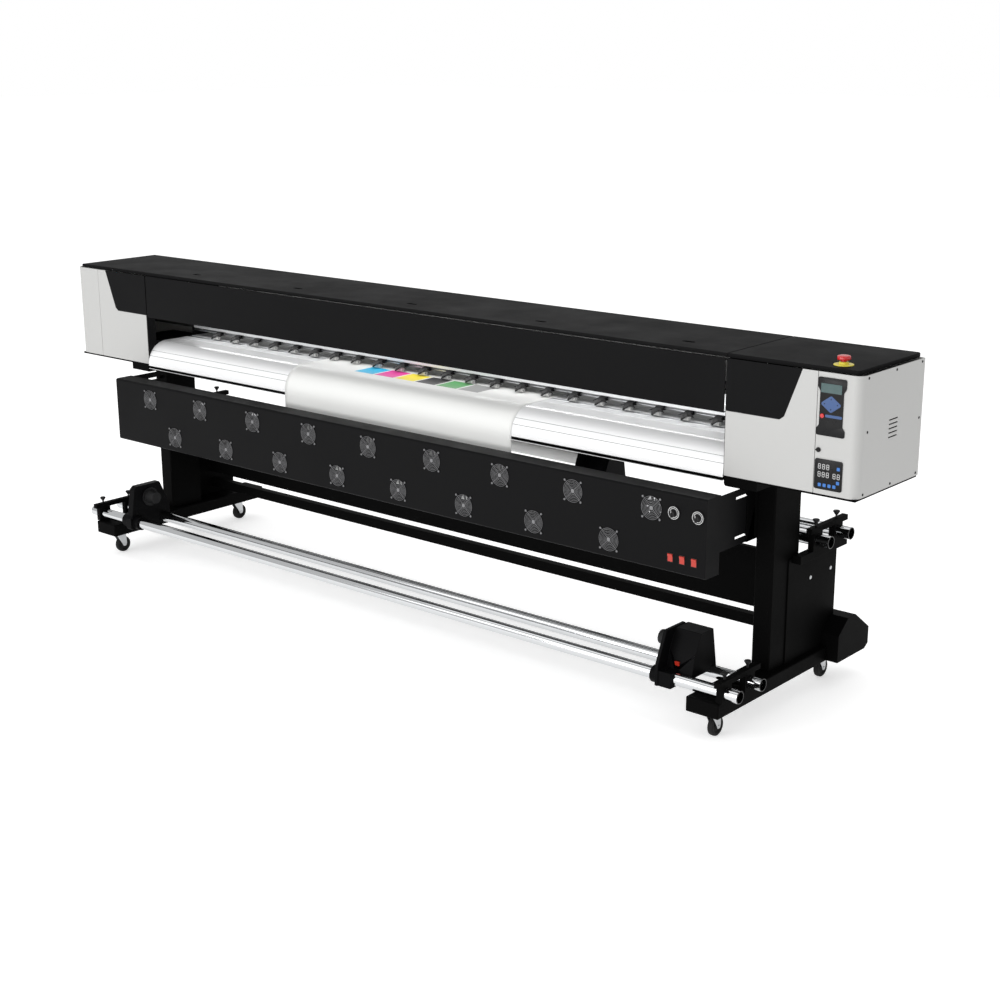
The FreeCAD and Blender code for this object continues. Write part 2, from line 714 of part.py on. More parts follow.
guide_block = box("guide_block", (-beam_end, guide_front, guide_low),
                  (beam_end, guide_back, guide_high))
guide_bore = box("guide_bore", (-beam_end - 1, guide_front + 5, guide_low + 5),
                 (beam_end + 1, guide_back - 5, guide_high - 5))
guide_tube = cut("guide_tube", guide_block, [guide_bore])
rail = box("rail", (-beam_end + 10, rail_front, rail_low), (beam_end - 10, guide_front, rail_high))
keep("guide_beam", group("guide_set", [guide_tube, rail]))

belt_half = opening_end + 310
belt_z = guide_high + 28
belt_y = guide_front + 12
loops = []
for label, grow in (("outer", 16.0), ("inner", 14.0)):
    middle = box("belt_mid_" + label, (-belt_half, belt_y, belt_z - grow),
                 (belt_half, belt_y + 15, belt_z + grow))
    ends = [
        cylinder("belt_end_%s_%d" % (label, i), "y", (x, belt_y, belt_z), grow, 15)
        for i, x in enumerate((-belt_half, belt_half))
    ]
    loops.append(fuse("belt_" + label, [middle] + ends))
belt = cut("belt", loops[0], [loops[1]])
pulleys = [
    cylinder("pulley_%d" % i, "y", (x, belt_y - 1, belt_z), 14 - 0.1, 30)
    for i, x in enumerate((-belt_half, belt_half))
]
motor = box("motor", (-belt_half - 35, belt_y + 29, guide_high),
            (-belt_half + 35, belt_y + 110, belt_z + 42))
idler = box("idler", (belt_half - 20, belt_y + 29, guide_high),
            (belt_half + 20, belt_y + 45, belt_z + 20))
keep("belt_drive", group("belt_set", [belt, motor, idler] + pulleys))

# Carriage, parked above the capping station in the right end housing
carriage_low = opening_end + 30
carriage_high = seam - 30
carriage_front = -176
carriage_back = -8
HEAD_GAP = 5
HEAD_PITCH = 66
HEAD_WIDE = 52
HEAD_STAGGER = 14
shell_low = platen_top + 30
shell_block = box("shell_block", (carriage_low, carriage_front, shell_low),
                  (carriage_high, carriage_back, carriage_top))
shell_soft = soften("shell_soft", shell_block, 10.0,
                    lambda edge: edge.CenterOfMass.z > number(carriage_top) - 1)
arm_block = box("carriage_arm", (carriage_low + 30, carriage_back, rail_low - 10),
                (carriage_high - 30, rail_front - GAP, rail_high + 11))
JAW = 9
jaws = [
    box("jaw_%d" % i, (carriage_low + 60, rail_front - GAP, z),
        (carriage_high - 60, guide_front - 1, z + JAW))
    for i, z in enumerate((rail_low - JAW - GAP, rail_high + GAP))
]
keep("carriage", fuse("carriage_solid", [shell_soft, arm_block] + jaws))

cap_deck = platen_low
cap_base = box("cap_base", (carriage_low, -180, d.body_bottom), (carriage_high, beam_front, cap_deck))
head_list = []
cap_pads = []
for i in range(4):
    head_x = carriage_low + 30 + HEAD_PITCH * i
    head_y = HEAD_STAGGER * (i % 2)
    head_list.append(box(
        "head_%d" % i, (head_x, carriage_front + 30 + head_y, platen_top + HEAD_GAP),
        (head_x + HEAD_WIDE, carriage_back - 40 + head_y, shell_low)))
    cap_pads.append(box(
        "cap_pad_%d" % i, (head_x - 2, carriage_front + 28 + head_y, cap_deck),
        (head_x + HEAD_WIDE + 2, carriage_back - 38 + head_y, platen_top + HEAD_GAP - 1)))
keep("print_heads", group("head_set", head_list))
keep("capping_station", fuse("capping", [cap_base] + cap_pads))

# Feed rollers
grit_body = cylinder("grit_body", "x", (-opening_end + 4, grit_y, grit_z), grit_radius,
                     d.opening_length - 8)
grit_shaft = cylinder("grit_shaft", "x", (-opening_end - WALL - 6, grit_y, grit_z), 8,
                      d.opening_length + 2 * WALL + 12)
keep("grit_roller", fuse("grit", [grit_body, grit_shaft]))

pinch_radius = 10
pinch_z = platen_top + 1.6 + pinch_radius
pinch_y = grit_y
pinch_count = int(number((d.opening_length - 270) / d.pinch_pitch))
pinch_first = -(pinch_count - 1) / 2 * d.pinch_pitch
arm_profile = [
    (shaft_y + 9, shaft_z - 9), (shaft_y + 9, shaft_z + 8), (shaft_y - 20, shaft_z + 8),
    (pinch_y - 4, pinch_z + 15), (pinch_y - 34, pinch_z + 7), (pinch_y - 34, pinch_z + 2),
    (pinch_y - 2, pinch_z - 6), (pinch_y + 12, pinch_z - 6),
]
arm_core = prism("arm_core", "yz", arm_profile, 44, at=(-22, 0, 0))
arm_fork = box("arm_fork", (-17 - GAP, pinch_y - 14, pinch_z - 16),
               (17 + GAP, pinch_y + 13.5, pinch_z + 12))
arm_pin = cylinder("arm_pin", "x", (-22, pinch_y, pinch_z), 3, 44)
arm_master = fuse("arm_master", [cut("arm_cut", arm_core, [arm_fork]), arm_pin])
pinch_offsets = [
    (number(pinch_first) + i * number(d.pinch_pitch), 0, 0) for i in range(pinch_count)
]
arm_row = copies("arm_row", arm_master, pinch_offsets)
lift_shaft = cylinder("lift_shaft", "x", (-opening_end - WALL - 4, shaft_y, shaft_z), 5,
                      d.opening_length + 2 * WALL + 8)
keep("pinch_arms", fuse("pinch_arm_set", [arm_row, lift_shaft]))
pinch_master = cut(
    "pinch_master",
    cylinder("pinch_tyre", "x", (-17, pinch_y, pinch_z), pinch_radius, 34),
    [cylinder("pinch_bore", "x", (-18, pinch_y, pinch_z), 3 + BEARING, 36)])
keep("pinch_rollers", copies("pinch_row", pinch_master, pinch_offsets))

# ---------------------------------------------------------------- controls at the right end

PANEL_THICK = 4
panel_face = -d.body_front - PANEL_THICK
panel_left = seam + 1
panel_right_edge = seam + 114
panel_high = body_top - 18
panel_low = panel_high - 209
upper_bezel = prism(
    "upper_bezel", "xz",
    [(panel_left + 2, panel_low), (panel_right_edge - 4, panel_low), (panel_right_edge, panel_low + 8),
     (panel_right_edge - 10, panel_low + 37), (panel_right_edge - 14, panel_low + 67),
     (panel_right_edge - 14, panel_high - 57), (panel_right_edge - 10, panel_high - 35),
     (panel_right_edge, panel_high - 7), (panel_right_edge - 4, panel_high),
     (panel_left + 2, panel_high), (panel_left, panel_high - 7), (panel_left + 7, panel_high - 35),
     (panel_left + 10, panel_high - 57), (panel_left + 10, panel_low + 67),
     (panel_left + 7, panel_low + 37), (panel_left, panel_low + 8)],
    PANEL_THICK, at=(0, -d.body_front, 0))
power_hole = cylinder("power_hole", "y", (POWER_AT[0], panel_face - 1, POWER_AT[1]),
                      POWER_RADIUS + GAP, PANEL_THICK + 2)
keypad = cylinder("keypad", "y", (seam + 57, panel_face - 1, panel_high - 94), 33, 1)
lower_low = d.body_bottom + 19
lower_high = lower_low + 111
lower_bezel_block = box("lower_bezel_block", (panel_left + 2, panel_face, lower_low),
                        (panel_right_edge, -d.body_front, lower_high))
lower_bezel = soften("lower_bezel", lower_bezel_block, 8.0, lambda edge: runs_along(edge, "y"))
keep("control_panels", group("panel_set", [
    cut("upper_bezel_cut", upper_bezel, [power_hole]), keypad, lower_bezel]))
DISPLAY_RISE = 0.6
display_face = panel_face - DISPLAY_RISE
lcd = box("lcd", (seam + 15, display_face, panel_high - 54), (seam + 97, panel_face, panel_high - 21))
digits_high = box("digits_high", (seam + 11, display_face, lower_high - 35),
                  (seam + 85, panel_face, lower_high - 9))
digits_low = box("digits_low", (seam + 11, display_face, lower_high - 65),
                 (seam + 85, panel_face, lower_high - 41))
keep("displays", group("display_set", [lcd, digits_high, digits_low]))
keep("power_button", cylinder("power_cap", "y", (POWER_AT[0], panel_face - 3, POWER_AT[1]),
                              POWER_RADIUS, 8))

latch_x = seam + 14
latch_z = d.body_bottom + 161
latch_back = -d.body_front - 4 - GAP
latch_disc = cylinder("latch_disc", "y", (latch_x, latch_back, latch_z), 9, 4)
latch_bar = box("latch_bar", (latch_x - 8.5, latch_back - 4.6, latch_z - 2.5),
                (latch_x + 8.5, latch_back, latch_z + 2.5))
keep("quarter_latch", fuse("latch", [latch_disc, latch_bar]))

stop_x = seam + 48
stop_y = -152
collar_disc = cylinder("collar_disc", "z", (stop_x, stop_y, lid_top), 36, 3)
collar_ring = cylinder("collar_ring", "z", (stop_x, stop_y, lid_top), 17, 12)
collar_bore = cylinder("collar_bore", "z", (stop_x, stop_y, lid_top + 1), 10 + SLIDE, 14)
keep("estop_collar", cut("collar", fuse("collar_solid", [collar_disc, collar_ring]), [collar_bore]))
stop_stem = cylinder("stop_stem", "z", (stop_x, stop_y, lid_top + 7), 10, 12)
stop_cap = cylinder("stop_cap", "z", (stop_x, stop_y, lid_top + 18), 24, 16)
stop_soft = soften("stop_soft", stop_cap, 3.0,
                   lambda edge: edge.CenterOfMass.z > number(lid_top) + 33)
keep("estop_button", fuse("stop_button", [stop_stem, stop_soft]))

# ---------------------------------------------------------------- dryer box

dryer_end = opening_end + d.dryer_overlap
dryer_face = -d.dryer_front
dryer_rear = d.dryer_depth - d.dryer_front
dryer_top = d.body_bottom - d.dryer_drop
dryer_bottom = dryer_top - d.dryer_height
DRYER_SKIN = 3
dryer_block = box("dryer_block", (-dryer_end, dryer_face, dryer_bottom),
                  (dryer_end, dryer_rear, dryer_top))


def front_rim(edge):
    return runs_along(edge, "x") and edge.CenterOfMass.y < number(dryer_face) + 1


dryer_soft = soften("dryer_soft", dryer_block, 10.0, front_rim)
dryer_bore = box(
    "dryer_bore", (-dryer_end + DRYER_SKIN, dryer_face + DRYER_SKIN, dryer_bottom + DRYER_SKIN),
    (dryer_end - DRYER_SKIN, dryer_rear + 1, dryer_top - DRYER_SKIN))
row_high = dryer_bottom + 234
row_low = dryer_bottom + 72
UPPER_FANS = 9
fan_pitch = 2 * (dryer_end - d.fan_margin) / (UPPER_FANS - 1)
fan_places = [(fan_pitch * (i - (UPPER_FANS - 1) / 2) + 10, row_high) for i in range(UPPER_FANS)]
fan_places += [(fan_pitch * (i + 1 - UPPER_FANS / 2), row_low) for i in range(UPPER_FANS - 1)]
fan_holes = [
    cylinder("fan_hole_%d" % i, "y", (x, dryer_face - 1, z), d.fan_hole, DRYER_SKIN + 2)
    for i, (x, z) in enumerate(fan_places)
]
ROCKER_WIDE = 11
ROCKER_TALL = 15
ROCKER_ROOM = 1.2
ROCKER_SIDE = 0.3
ROCKER_TILT = 8
rocker_places = [(dryer_end - back, dryer_bottom + 58) for back in (156, 103, 50)]
rocker_holes = [
    box("rocker_hole_%d" % i,
        (x - ROCKER_WIDE - ROCKER_SIDE, dryer_face - 1, z - ROCKER_TALL - ROCKER_ROOM),
        (x + ROCKER_WIDE + ROCKER_SIDE, dryer_face + DRYER_SKIN + 1, z + ROCKER_TALL + ROCKER_ROOM))
    for i, (x, z) in enumerate(rocker_places)
]
slot_levels = (dryer_top - 36, dryer_bottom + 116)
ear_low = dryer_bottom + 85
ear_high = dryer_top - 4
slot_front = -218
slot_back = -122
EAR = 4
ears = []
slots = []
for i, side in enumerate((-1, 1)):
    inner, outer = (-dryer_end, -dryer_end + EAR) if side < 0 else (dryer_end - EAR, dryer_end)
    ears.append(box("ear_%d" % i, (inner, dryer_rear, ear_low), (outer, -106, ear_high)))
    for j, z in enumerate(slot_levels):
        slots.append(box("slot_%d_%d" % (i, j), (inner - 1, slot_front, z - 5),
                         (outer + 1, slot_back, z + 5)))
dryer_shell = cut("dryer_shell_cut", fuse("dryer_solid", [dryer_soft] + ears),
                  [dryer_bore] + fan_holes + rocker_holes + slots)
keep("dryer_shell", dryer_shell)

# Arms on the columns: the clamp studs run in the slots of the dryer's ears
ARM = 5
STUD_HEAD = 7
stud_y = -128
near = dryer_end + GAP
arm_plate = box("arm_plate", (near, -146, ear_low), (near + ARM, -60, ear_high))
arm_spacer = box("arm_spacer", (near + ARM, -92, ear_low + 10), (column_in, -62, ear_high - 10))
arm_studs = []
for j, z in enumerate(slot_levels):
    arm_studs.append(cylinder("stud_%d" % j, "x", (dryer_end - EAR - GAP - STUD_HEAD, stud_y, z), 4,
                              EAR + 2 * GAP + STUD_HEAD + ARM - 1))
    arm_studs.append(cylinder("stud_head_%d" % j, "x", (dryer_end - EAR - GAP - STUD_HEAD, stud_y, z),
                              8, STUD_HEAD))
dryer_arm = fuse("dryer_arm", [arm_plate, arm_spacer] + arm_studs)
keep("dryer_arms", group("arm_pair", [dryer_arm, mirror("dryer_arm_left", dryer_arm)]))

# One fan: square frame, round duct, hub and blades; one guard: rings on a cross of wires
FAN_DEPTH = 25
FAN_BLADES = 7
BLADE_WIDE = 22
fan_frame = box("fan_frame", (-46, 0, -46), (46, FAN_DEPTH, 46))
fan_duct = cylinder("fan_duct", "y", (0, -1, 0), d.fan_hole, FAN_DEPTH + 2)
hub = cylinder("fan_hub", "y", (0, 3, 0), 18, FAN_DEPTH - 3)
fan_struts = [
    box("fan_strut_0", (-44, FAN_DEPTH - 4, -2), (44, FAN_DEPTH, 2)),
    box("fan_strut_1", (-2, FAN_DEPTH - 4, -44), (2, FAN_DEPTH, 44)),
]
blades = []
for i in range(FAN_BLADES):
    blade = box("blade_%d" % i, (14, 0, 0), (40, BLADE_WIDE, 2))
    blade.Placement = (Placement(Vector(), Rotation(Vector(0, 1, 0), i * 360.0 / FAN_BLADES))
                       .multiply(Placement(Vector(14, 12, 0), Rotation(Vector(1, 0, 0), 60)))
                       .multiply(Placement(Vector(0, -BLADE_WIDE / 2, -1), Rotation())))
    blades.append(blade)
fan_housing = cut("fan_housing", fan_frame, [fan_duct])
fan_master = fuse("fan_master", [fan_housing, hub] + fan_struts + blades)
fan_offsets = [(number(x), number(dryer_face) + DRYER_SKIN, number(z)) for x, z in fan_places]
keep("fan_units", copies("fan_row", fan_master, fan_offsets))

rings = []
for i, radius in enumerate((12, 21, 30, 39, 46)):
    outer = cylinder("ring_outer_%d" % i, "y", (0, -4, 0), radius + 1, 2)
    inner = cylinder("ring_inner_%d" % i, "y", (0, -5, 0), radius - 1, 4)
    rings.append(cut("ring_%d" % i, outer, [inner]))
wires = []
for i, angle in enumerate((45, 135, 225, 315)):
    wire = box("wire_%d" % i, (0, 0, 0), (58, 2, 2))
    wire.Placement = Placement(Vector(0, -2, 0), Rotation(Vector(0, 1, 0), angle))
    foot = cylinder("guard_foot_%d" % i, "y", (0, 0, 0), 4, 2)
    direction = Rotation(Vector(0, 1, 0), angle).multVec(Vector(56, 0, 1))
    foot.Placement = Placement(Vector(direction.x, -2, direction.z), TURN["y"])
    wires += [wire, foot]
guard_centre = cylinder("guard_centre", "y", (0, -4, 0), 5, 4)
guard_master = fuse("guard_master", rings + wires + [guard_centre])
guard_offsets = [(number(x), number(dryer_face), number(z)) for x, z in fan_places]
keep("fan_guards", copies("guard_row", guard_master, guard_offsets))

knob_back = dryer_face - GAP
for name, x in {"knob_left": dryer_end - 143, "knob_right": dryer_end - 36}.items():
    skirt = cylinder(name + "_skirt", "y", (x, knob_back - 5, row_high), 27, 5)
    grip = cylinder(name + "_grip", "y", (x, knob_back - 20, row_high), 13, 16)
    blade = box(name + "_blade", (x - 3, knob_back - 23, row_high - 15),
                (x + 3, knob_back - 4, row_high + 15))
    keep("thermostat_" + name, fuse(name + "_solid", [skirt, grip, blade]))


def rocker(name, x, face, z, wide, tall):
    """A rocker switch key with a dished face, tilted to one of its two positions about x."""
    outline = [(-6, -tall), (-4, 0), (-6, tall), (1.5, tall), (8, 4), (8, -4), (1.5, -tall)]
    turn = math.radians(ROCKER_TILT)
    tilted = [
        (y * math.cos(turn) - z_off * math.sin(turn), y * math.sin(turn) + z_off * math.cos(turn))
        for y, z_off in outline
    ]
    return prism(name, "yz", tilted, 2 * wide, at=(x - wide, face + 1.5, z))


for name, (x, z) in zip(("left", "middle", "right"), rocker_places):
    keep("rocker_" + name, rocker("rocker_key_" + name, x, dryer_face, z, ROCKER_WIDE, ROCKER_TALL))

# ---------------------------------------------------------------- rods and their brackets

takeup_front = d.takeup_inset - foot_end
takeup_rods = (takeup_front, takeup_front + d.rod_gap)
feed_rods = (d.feed_front, d.feed_front + d.rod_gap)
rod_end = opening_end + d.rod_out
ROD_WALL = 3
rods = []
for pair, level in ((takeup_rods, d.takeup_level), (feed_rods, feed_level)):
    for y in pair:
        label = "rod_%d" % len(rods)
        rod = cylinder(label + "_outer", "x", (-rod_end, y, level), d.rod_radius, 2 * rod_end)
        core = cylinder(label + "_inner", "x", (-rod_end - 1, y, level), d.rod_radius - ROD_WALL,
                        2 * rod_end + 2)
        rods.append(cut(label, rod, [core]))
keep("roll_rods", group("rod_set", rods))

BRACKET = 26
BRACKET_BAR = 22
bar_reach = d.rod_radius + 6


def rod_bores(label, pair, level, start, length, clearance):
    return [
        cylinder("%s_bore_%d" % (label, i), "x", (start, y, level), d.rod_radius + clearance, length)
        for i, y in enumerate(pair)
    ]


def clamp_blocks(label, pair, level, low_x, floor):
    """Blocks that stand on a floor and close round each rod of a pair, under one long bar."""
    blocks = [
        box("%s_block_%d" % (label, i), (low_x, y - 33, floor),
            (low_x + BRACKET, y + 33, level + bar_reach))
        for i, y in enumerate(pair)
    ]
    bar = box(label + "_bar", (low_x, pair[0] - 50, level + bar_reach),
              (low_x + BRACKET, pair[1] + 72, level + bar_reach + BRACKET_BAR))
    return blocks + [bar]


takeup_x = foot_out - 17
takeup_blocks = clamp_blocks("takeup", takeup_rods, d.takeup_level, takeup_x, foot_top)
takeup_bores = rod_bores("takeup", takeup_rods, d.takeup_level, takeup_x - 1, BRACKET + 2, BEARING)
takeup_bracket = cut("takeup_bracket", fuse("takeup_solid", takeup_blocks), takeup_bores)
feed_x = side_out
feed_floor = side_top + 12
feed_blocks = clamp_blocks("feed", feed_rods, feed_level, feed_x + 10, feed_floor)
feed_shelf = box("feed_shelf", (feed_x, 40, side_top - 20), (feed_x + 10 + BRACKET, 400, feed_floor))
feed_bracket = cut("feed_bracket", fuse("feed_solid", feed_blocks + [feed_shelf]),
                   rod_bores("feed", feed_rods, feed_level, feed_x - 1, BRACKET + 14, BEARING))
keep("rod_brackets", group("bracket_set", [
    takeup_bracket, mirror("takeup_bracket_left", takeup_bracket),
    feed_bracket, mirror("feed_bracket_left", feed_bracket)]))

# ---------------------------------------------------------------- screws

fasteners = []
for label, pair, level, x in (("takeup", takeup_rods, d.takeup_level, takeup_x + BRACKET / 2),
                              ("feed", feed_rods, feed_level, feed_x + 10 + BRACKET / 2)):
    for i, y in enumerate(pair):
        top = level + bar_reach + BRACKET_BAR
        stem = cylinder("%s_stem_%d" % (label, i), "z", (x, y, top), 4, 12)
        thumb = cone("%s_thumb_%d" % (label, i), "z", (x, y, top + 12), 7, 14, 18)
        hand = fuse("%s_hand_%d" % (label, i), [stem, thumb])
        fasteners += [hand, mirror("%s_hand_left_%d" % (label, i), hand)]
screw_high = body_top - 11
screw_low = d.body_bottom + 12
screw_front = 46 - d.body_front
screw_back = body_back - 22
side_screws = [
    (screw_front, screw_high), (10, screw_high), (screw_back, screw_high),
    (screw_front + 9, d.body_bottom + 237), (screw_back, d.body_bottom + 222),
    (screw_front, screw_low), (8, screw_low), (screw_back, screw_low),
]
for i, (y, z) in enumerate(side_screws):
    screw = cylinder("side_screw_%d" % i, "x", (body_end, y, z), 5, 2)
    fasteners += [screw, mirror("side_screw_left_%d" % i, screw)]
for i, (y, z) in enumerate([(184, side_top - 113), (341, side_top - 112)]):
    screw = cylinder("plate_screw_%d" % i, "x", (side_out, y, z), 8, 3)
    fasteners += [screw, mirror("plate_screw_left_%d" % i, screw)]
keep("screws", group("screw_set", fasteners))

# ---------------------------------------------------------------- roll units


def spindle_bore(label, front, level, face_x):
    return cylinder(label + "_spindle", "x",
                    (face_x - 1, front + d.rod_gap / 2, level + d.core_rise), 12 + BEARING, 40)


def roll_unit(label, pair, level, face_x):
    """A carrier that slides on a pair of rods.  face_x is its inner face; it grows towards +x."""
    front, rear = pair
    plate = prism(
        label + "_plate", "yz",
        [(front - 40, level - 31), (rear + 40, level - 31), (rear + 40, level + 40),
         (rear - 20, level + 178), (front + 14, level + 178), (front - 40, level + 50)],
        14, at=(face_x, 0, 0))
    housing = prism(
        label + "_housing", "yz",
        [(front + 14, level + 8), (rear + 26, level + 8), (rear - 2, level + 174),
         (front + 74, level + 174), (front + 36, level + 96)],
        116, at=(face_x + 14, 0, 0))
    boss = cylinder(label + "_boss", "x", (face_x - 30, front, level), d.rod_radius + 9, 60)
    clamp = box(label + "_clamp", (face_x + 14, front - 36, level - 31),
                (face_x + 70, front + 40, level + 30))
    bores = rod_bores(label, pair, level, face_x - 40, 200, SLIDE)
    spindle = spindle_bore(label, front, level, face_x)
    return cut(label + "_carrier", fuse(label + "_solid", [plate, housing, boss, clamp]),
               bores + [spindle])


def idle_unit(label, pair, level, face_x):
    """The undriven carrier at the other end: one thick plate with rounded shoulders."""
    front, rear = pair
    plate = prism(
        label + "_plate", "yz",
        [(front - 40, level - 31), (rear + 40, level - 31), (rear + 40, level + 66),
         (rear - 14, level + 184), (front + 4, level + 184), (front - 14, level + 168),
         (front - 34, level + 40), (front - 46, level + 26), (front - 46, level - 20)],
        38, at=(face_x, 0, 0))
    boss = cylinder(label + "_boss", "x", (face_x - 30, front, level), d.rod_radius + 9, 120)
    hub = cylinder(label + "_hub", "x", (face_x, front + d.rod_gap / 2, level + d.core_rise), 34, 62)
    bores = rod_bores(label, pair, level, face_x - 40, 200, SLIDE)
    spindle = spindle_bore(label, front, level, face_x)
    return cut(label + "_carrier", fuse(label + "_solid", [plate, boss, hub]), bores + [spindle])


def core_chuck(label, y, z, face_x, tip_radius):
    """A cone that enters the core from its end, on a spindle that runs in the carrier."""
    spindle = cylinder(label + "_spin", "x", (face_x - 2, y, z), 12, 34)
    flange = cylinder(label + "_flange", "x", (face_x - 10, y, z), 46, 10 - GAP)
    tip = cone(label + "_tip", "x", (face_x - 54, y, z), tip_radius, 36, 44)
    return fuse(label + "_chuck", [spindle, flange, tip])


takeup_core_y = takeup_front + d.rod_gap / 2
takeup_core_z = d.takeup_level + d.core_rise
takeup_face = leg - 216
unit_right = roll_unit("takeup", takeup_rods, d.takeup_level, takeup_face)
switch_x = takeup_face + 58
switch_y = takeup_front + 25.5
switch_z = d.takeup_level + 47
SWITCH_WIDE = 10
SWITCH_TALL = 14
switch_room = box(
    "switch_room",
    (switch_x - SWITCH_WIDE - ROCKER_SIDE, switch_y - 30, switch_z - SWITCH_TALL - ROCKER_ROOM),
    (switch_x + SWITCH_WIDE + ROCKER_SIDE, switch_y + 12, switch_z + SWITCH_TALL + ROCKER_ROOM))
keep("takeup_unit_right", cut("unit_right_cut", unit_right, [switch_room]))
unit_idle = idle_unit("idle", takeup_rods, d.takeup_level, takeup_face)
keep("takeup_unit_left", mirror("unit_left", unit_idle))
chuck_right = core_chuck("takeup", takeup_core_y, takeup_core_z, takeup_face, 28)
keep("takeup_chuck_right", chuck_right)
keep("takeup_chuck_left", mirror("chuck_left", chuck_right))
keep("takeup_rocker",
     rocker("takeup_rocker_key", switch_x, switch_y, switch_z, SWITCH_WIDE, SWITCH_TALL))

web_centre = -12
web_half = d.web_width / 2
feed_face = web_half + 26
feed_unit = roll_unit("feed", feed_rods, feed_level, feed_face)
feed_left = mirror("feed_unit_left", feed_unit)
feed_set = copies("feed_unit_row", feed_unit, [(web_centre, 0, 0)])
feed_set_left = copies("feed_unit_row_left", feed_left, [(web_centre, 0, 0)])
keep("feed_units", group("feed_pair", [feed_set, feed_set_left]))

CORE_RADIUS = 32
feed_chuck = core_chuck("feed", feed_core_y, feed_core_z, feed_face, 22)
feed_chuck_left = mirror("feed_chuck_left", feed_chuck)
chucks = [
    copies("feed_chuck_a", feed_chuck, [(web_centre, 0, 0)]),
    copies("feed_chuck_b", feed_chuck_left, [(web_centre, 0, 0)]),
]
core_out = cylinder("core_out", "x", (web_centre - web_half, feed_core_y, feed_core_z), ROLL_RADIUS,
                    d.web_width)
core_in = cylinder("core_in", "x", (web_centre - web_half - 1, feed_core_y, feed_core_z),
                   CORE_RADIUS, d.web_width + 2)
core_tube = cut("core_tube", core_out, [core_in])
keep("feed_roll", fuse("feed_roll_solid", [core_tube] + chucks))

# Media: from the roll, up behind the body, over the platen and down to a free end
WEB = 0.8
lift = 0.5
web_top = platen_top + lift
front_y = -d.body_front - 3 - lift
rear_y = guide_face + lift
hang_low = d.body_bottom - 323
web_front = bent_sheet("web_front", front_y - WEB, 40, web_top + WEB, hang_low,
                       d.heater_bend + lift + WEB, WEB, d.web_width)
web_rear = bent_sheet("web_rear", rear_y + WEB, 40, web_top + WEB, feed_core_z,
                      d.guide_bend + lift + WEB, WEB, d.web_width)
web_all = fuse("web_all", [web_front, web_rear])
keep("media_web", copies("web", web_all, [(web_centre, 0, 0)]))

# ---------------------------------------------------------------- check and write

doc.recompute()
for item in doc.Objects:
    if "Invalid" in item.State or "Error" in item.State:
        raise RuntimeError("%s did not recompute" % item.Name)
for name, item in parts.items():
    if item.Shape.isNull() or not item.Shape.isValid() or not item.Shape.Solids:
        raise RuntimeError("%s has no valid solid" % name)

os.makedirs("parts", exist_ok=True)
for name, item in parts.items():
    item.Shape.exportStep("parts/%s.step" % name)
print("wrote %d sub-parts" % len(parts))
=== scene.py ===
import json
import math
from functools import reduce

import bmesh
import bpy
from mathutils import Matrix, Vector


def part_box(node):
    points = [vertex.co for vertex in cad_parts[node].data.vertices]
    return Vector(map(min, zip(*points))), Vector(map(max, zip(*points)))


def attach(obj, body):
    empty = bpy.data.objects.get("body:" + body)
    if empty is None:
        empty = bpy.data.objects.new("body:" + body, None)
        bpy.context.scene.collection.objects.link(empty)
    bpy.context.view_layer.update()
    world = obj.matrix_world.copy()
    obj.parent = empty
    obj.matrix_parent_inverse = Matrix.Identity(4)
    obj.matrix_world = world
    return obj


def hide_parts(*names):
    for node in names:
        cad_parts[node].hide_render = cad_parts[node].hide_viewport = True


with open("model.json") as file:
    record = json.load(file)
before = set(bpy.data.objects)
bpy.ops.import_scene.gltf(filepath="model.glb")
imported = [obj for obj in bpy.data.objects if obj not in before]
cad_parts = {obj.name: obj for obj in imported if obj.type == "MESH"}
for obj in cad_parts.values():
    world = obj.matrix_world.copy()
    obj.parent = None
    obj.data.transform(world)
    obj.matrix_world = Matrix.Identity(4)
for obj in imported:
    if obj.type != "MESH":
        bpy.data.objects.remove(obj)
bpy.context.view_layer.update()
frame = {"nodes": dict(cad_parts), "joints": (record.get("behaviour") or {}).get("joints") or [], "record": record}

bl_info = {
    "name": "Wide printer looks",
    "version": (1, 0, 0),
    "blender": (4, 5, 0),
    "location": "View3D > Sidebar > Printer",
    "description": "Finishes for a wide roll-to-roll printer built round its CAD frame",
    "category": "Object",
}

NODES = frame["nodes"]
BODIES = {node: body for body, nodes in frame["record"]["behaviour"]["bodies"].items() for node in nodes}
MM = 0.001
HEATER_BEND = 110 * MM
HEATER_SEAMS = (24, 39, 81)
HEATER_FLAT_SEAM = 17 * MM
HEATER_GROOVE = 0.9 * MM
DEEP_BLACK = (0.006, 0.006, 0.006)
LAYER_WAVES = 9000.0  # radians per metre, a ring every 0.7 mm
PATCH_INKS = ((0.0, 0.42, 0.7), (0.72, 0.03, 0.3), (0.85, 0.7, 0.03), (0.02, 0.02, 0.025),
              (0.1, 0.35, 0.12), (0.3, 0.3, 0.3))
PATCH_START = 0.27
PATCH_STEP = 0.092
PATCH_HALF_WIDTH = 0.042
PATCH_HALF_LENGTH = 0.052
SIDES = (-1, 1)
CORNERS = ("front_left", "front_right", "rear_left", "rear_right")


# ---------------------------------------------------------------- places read from the frame


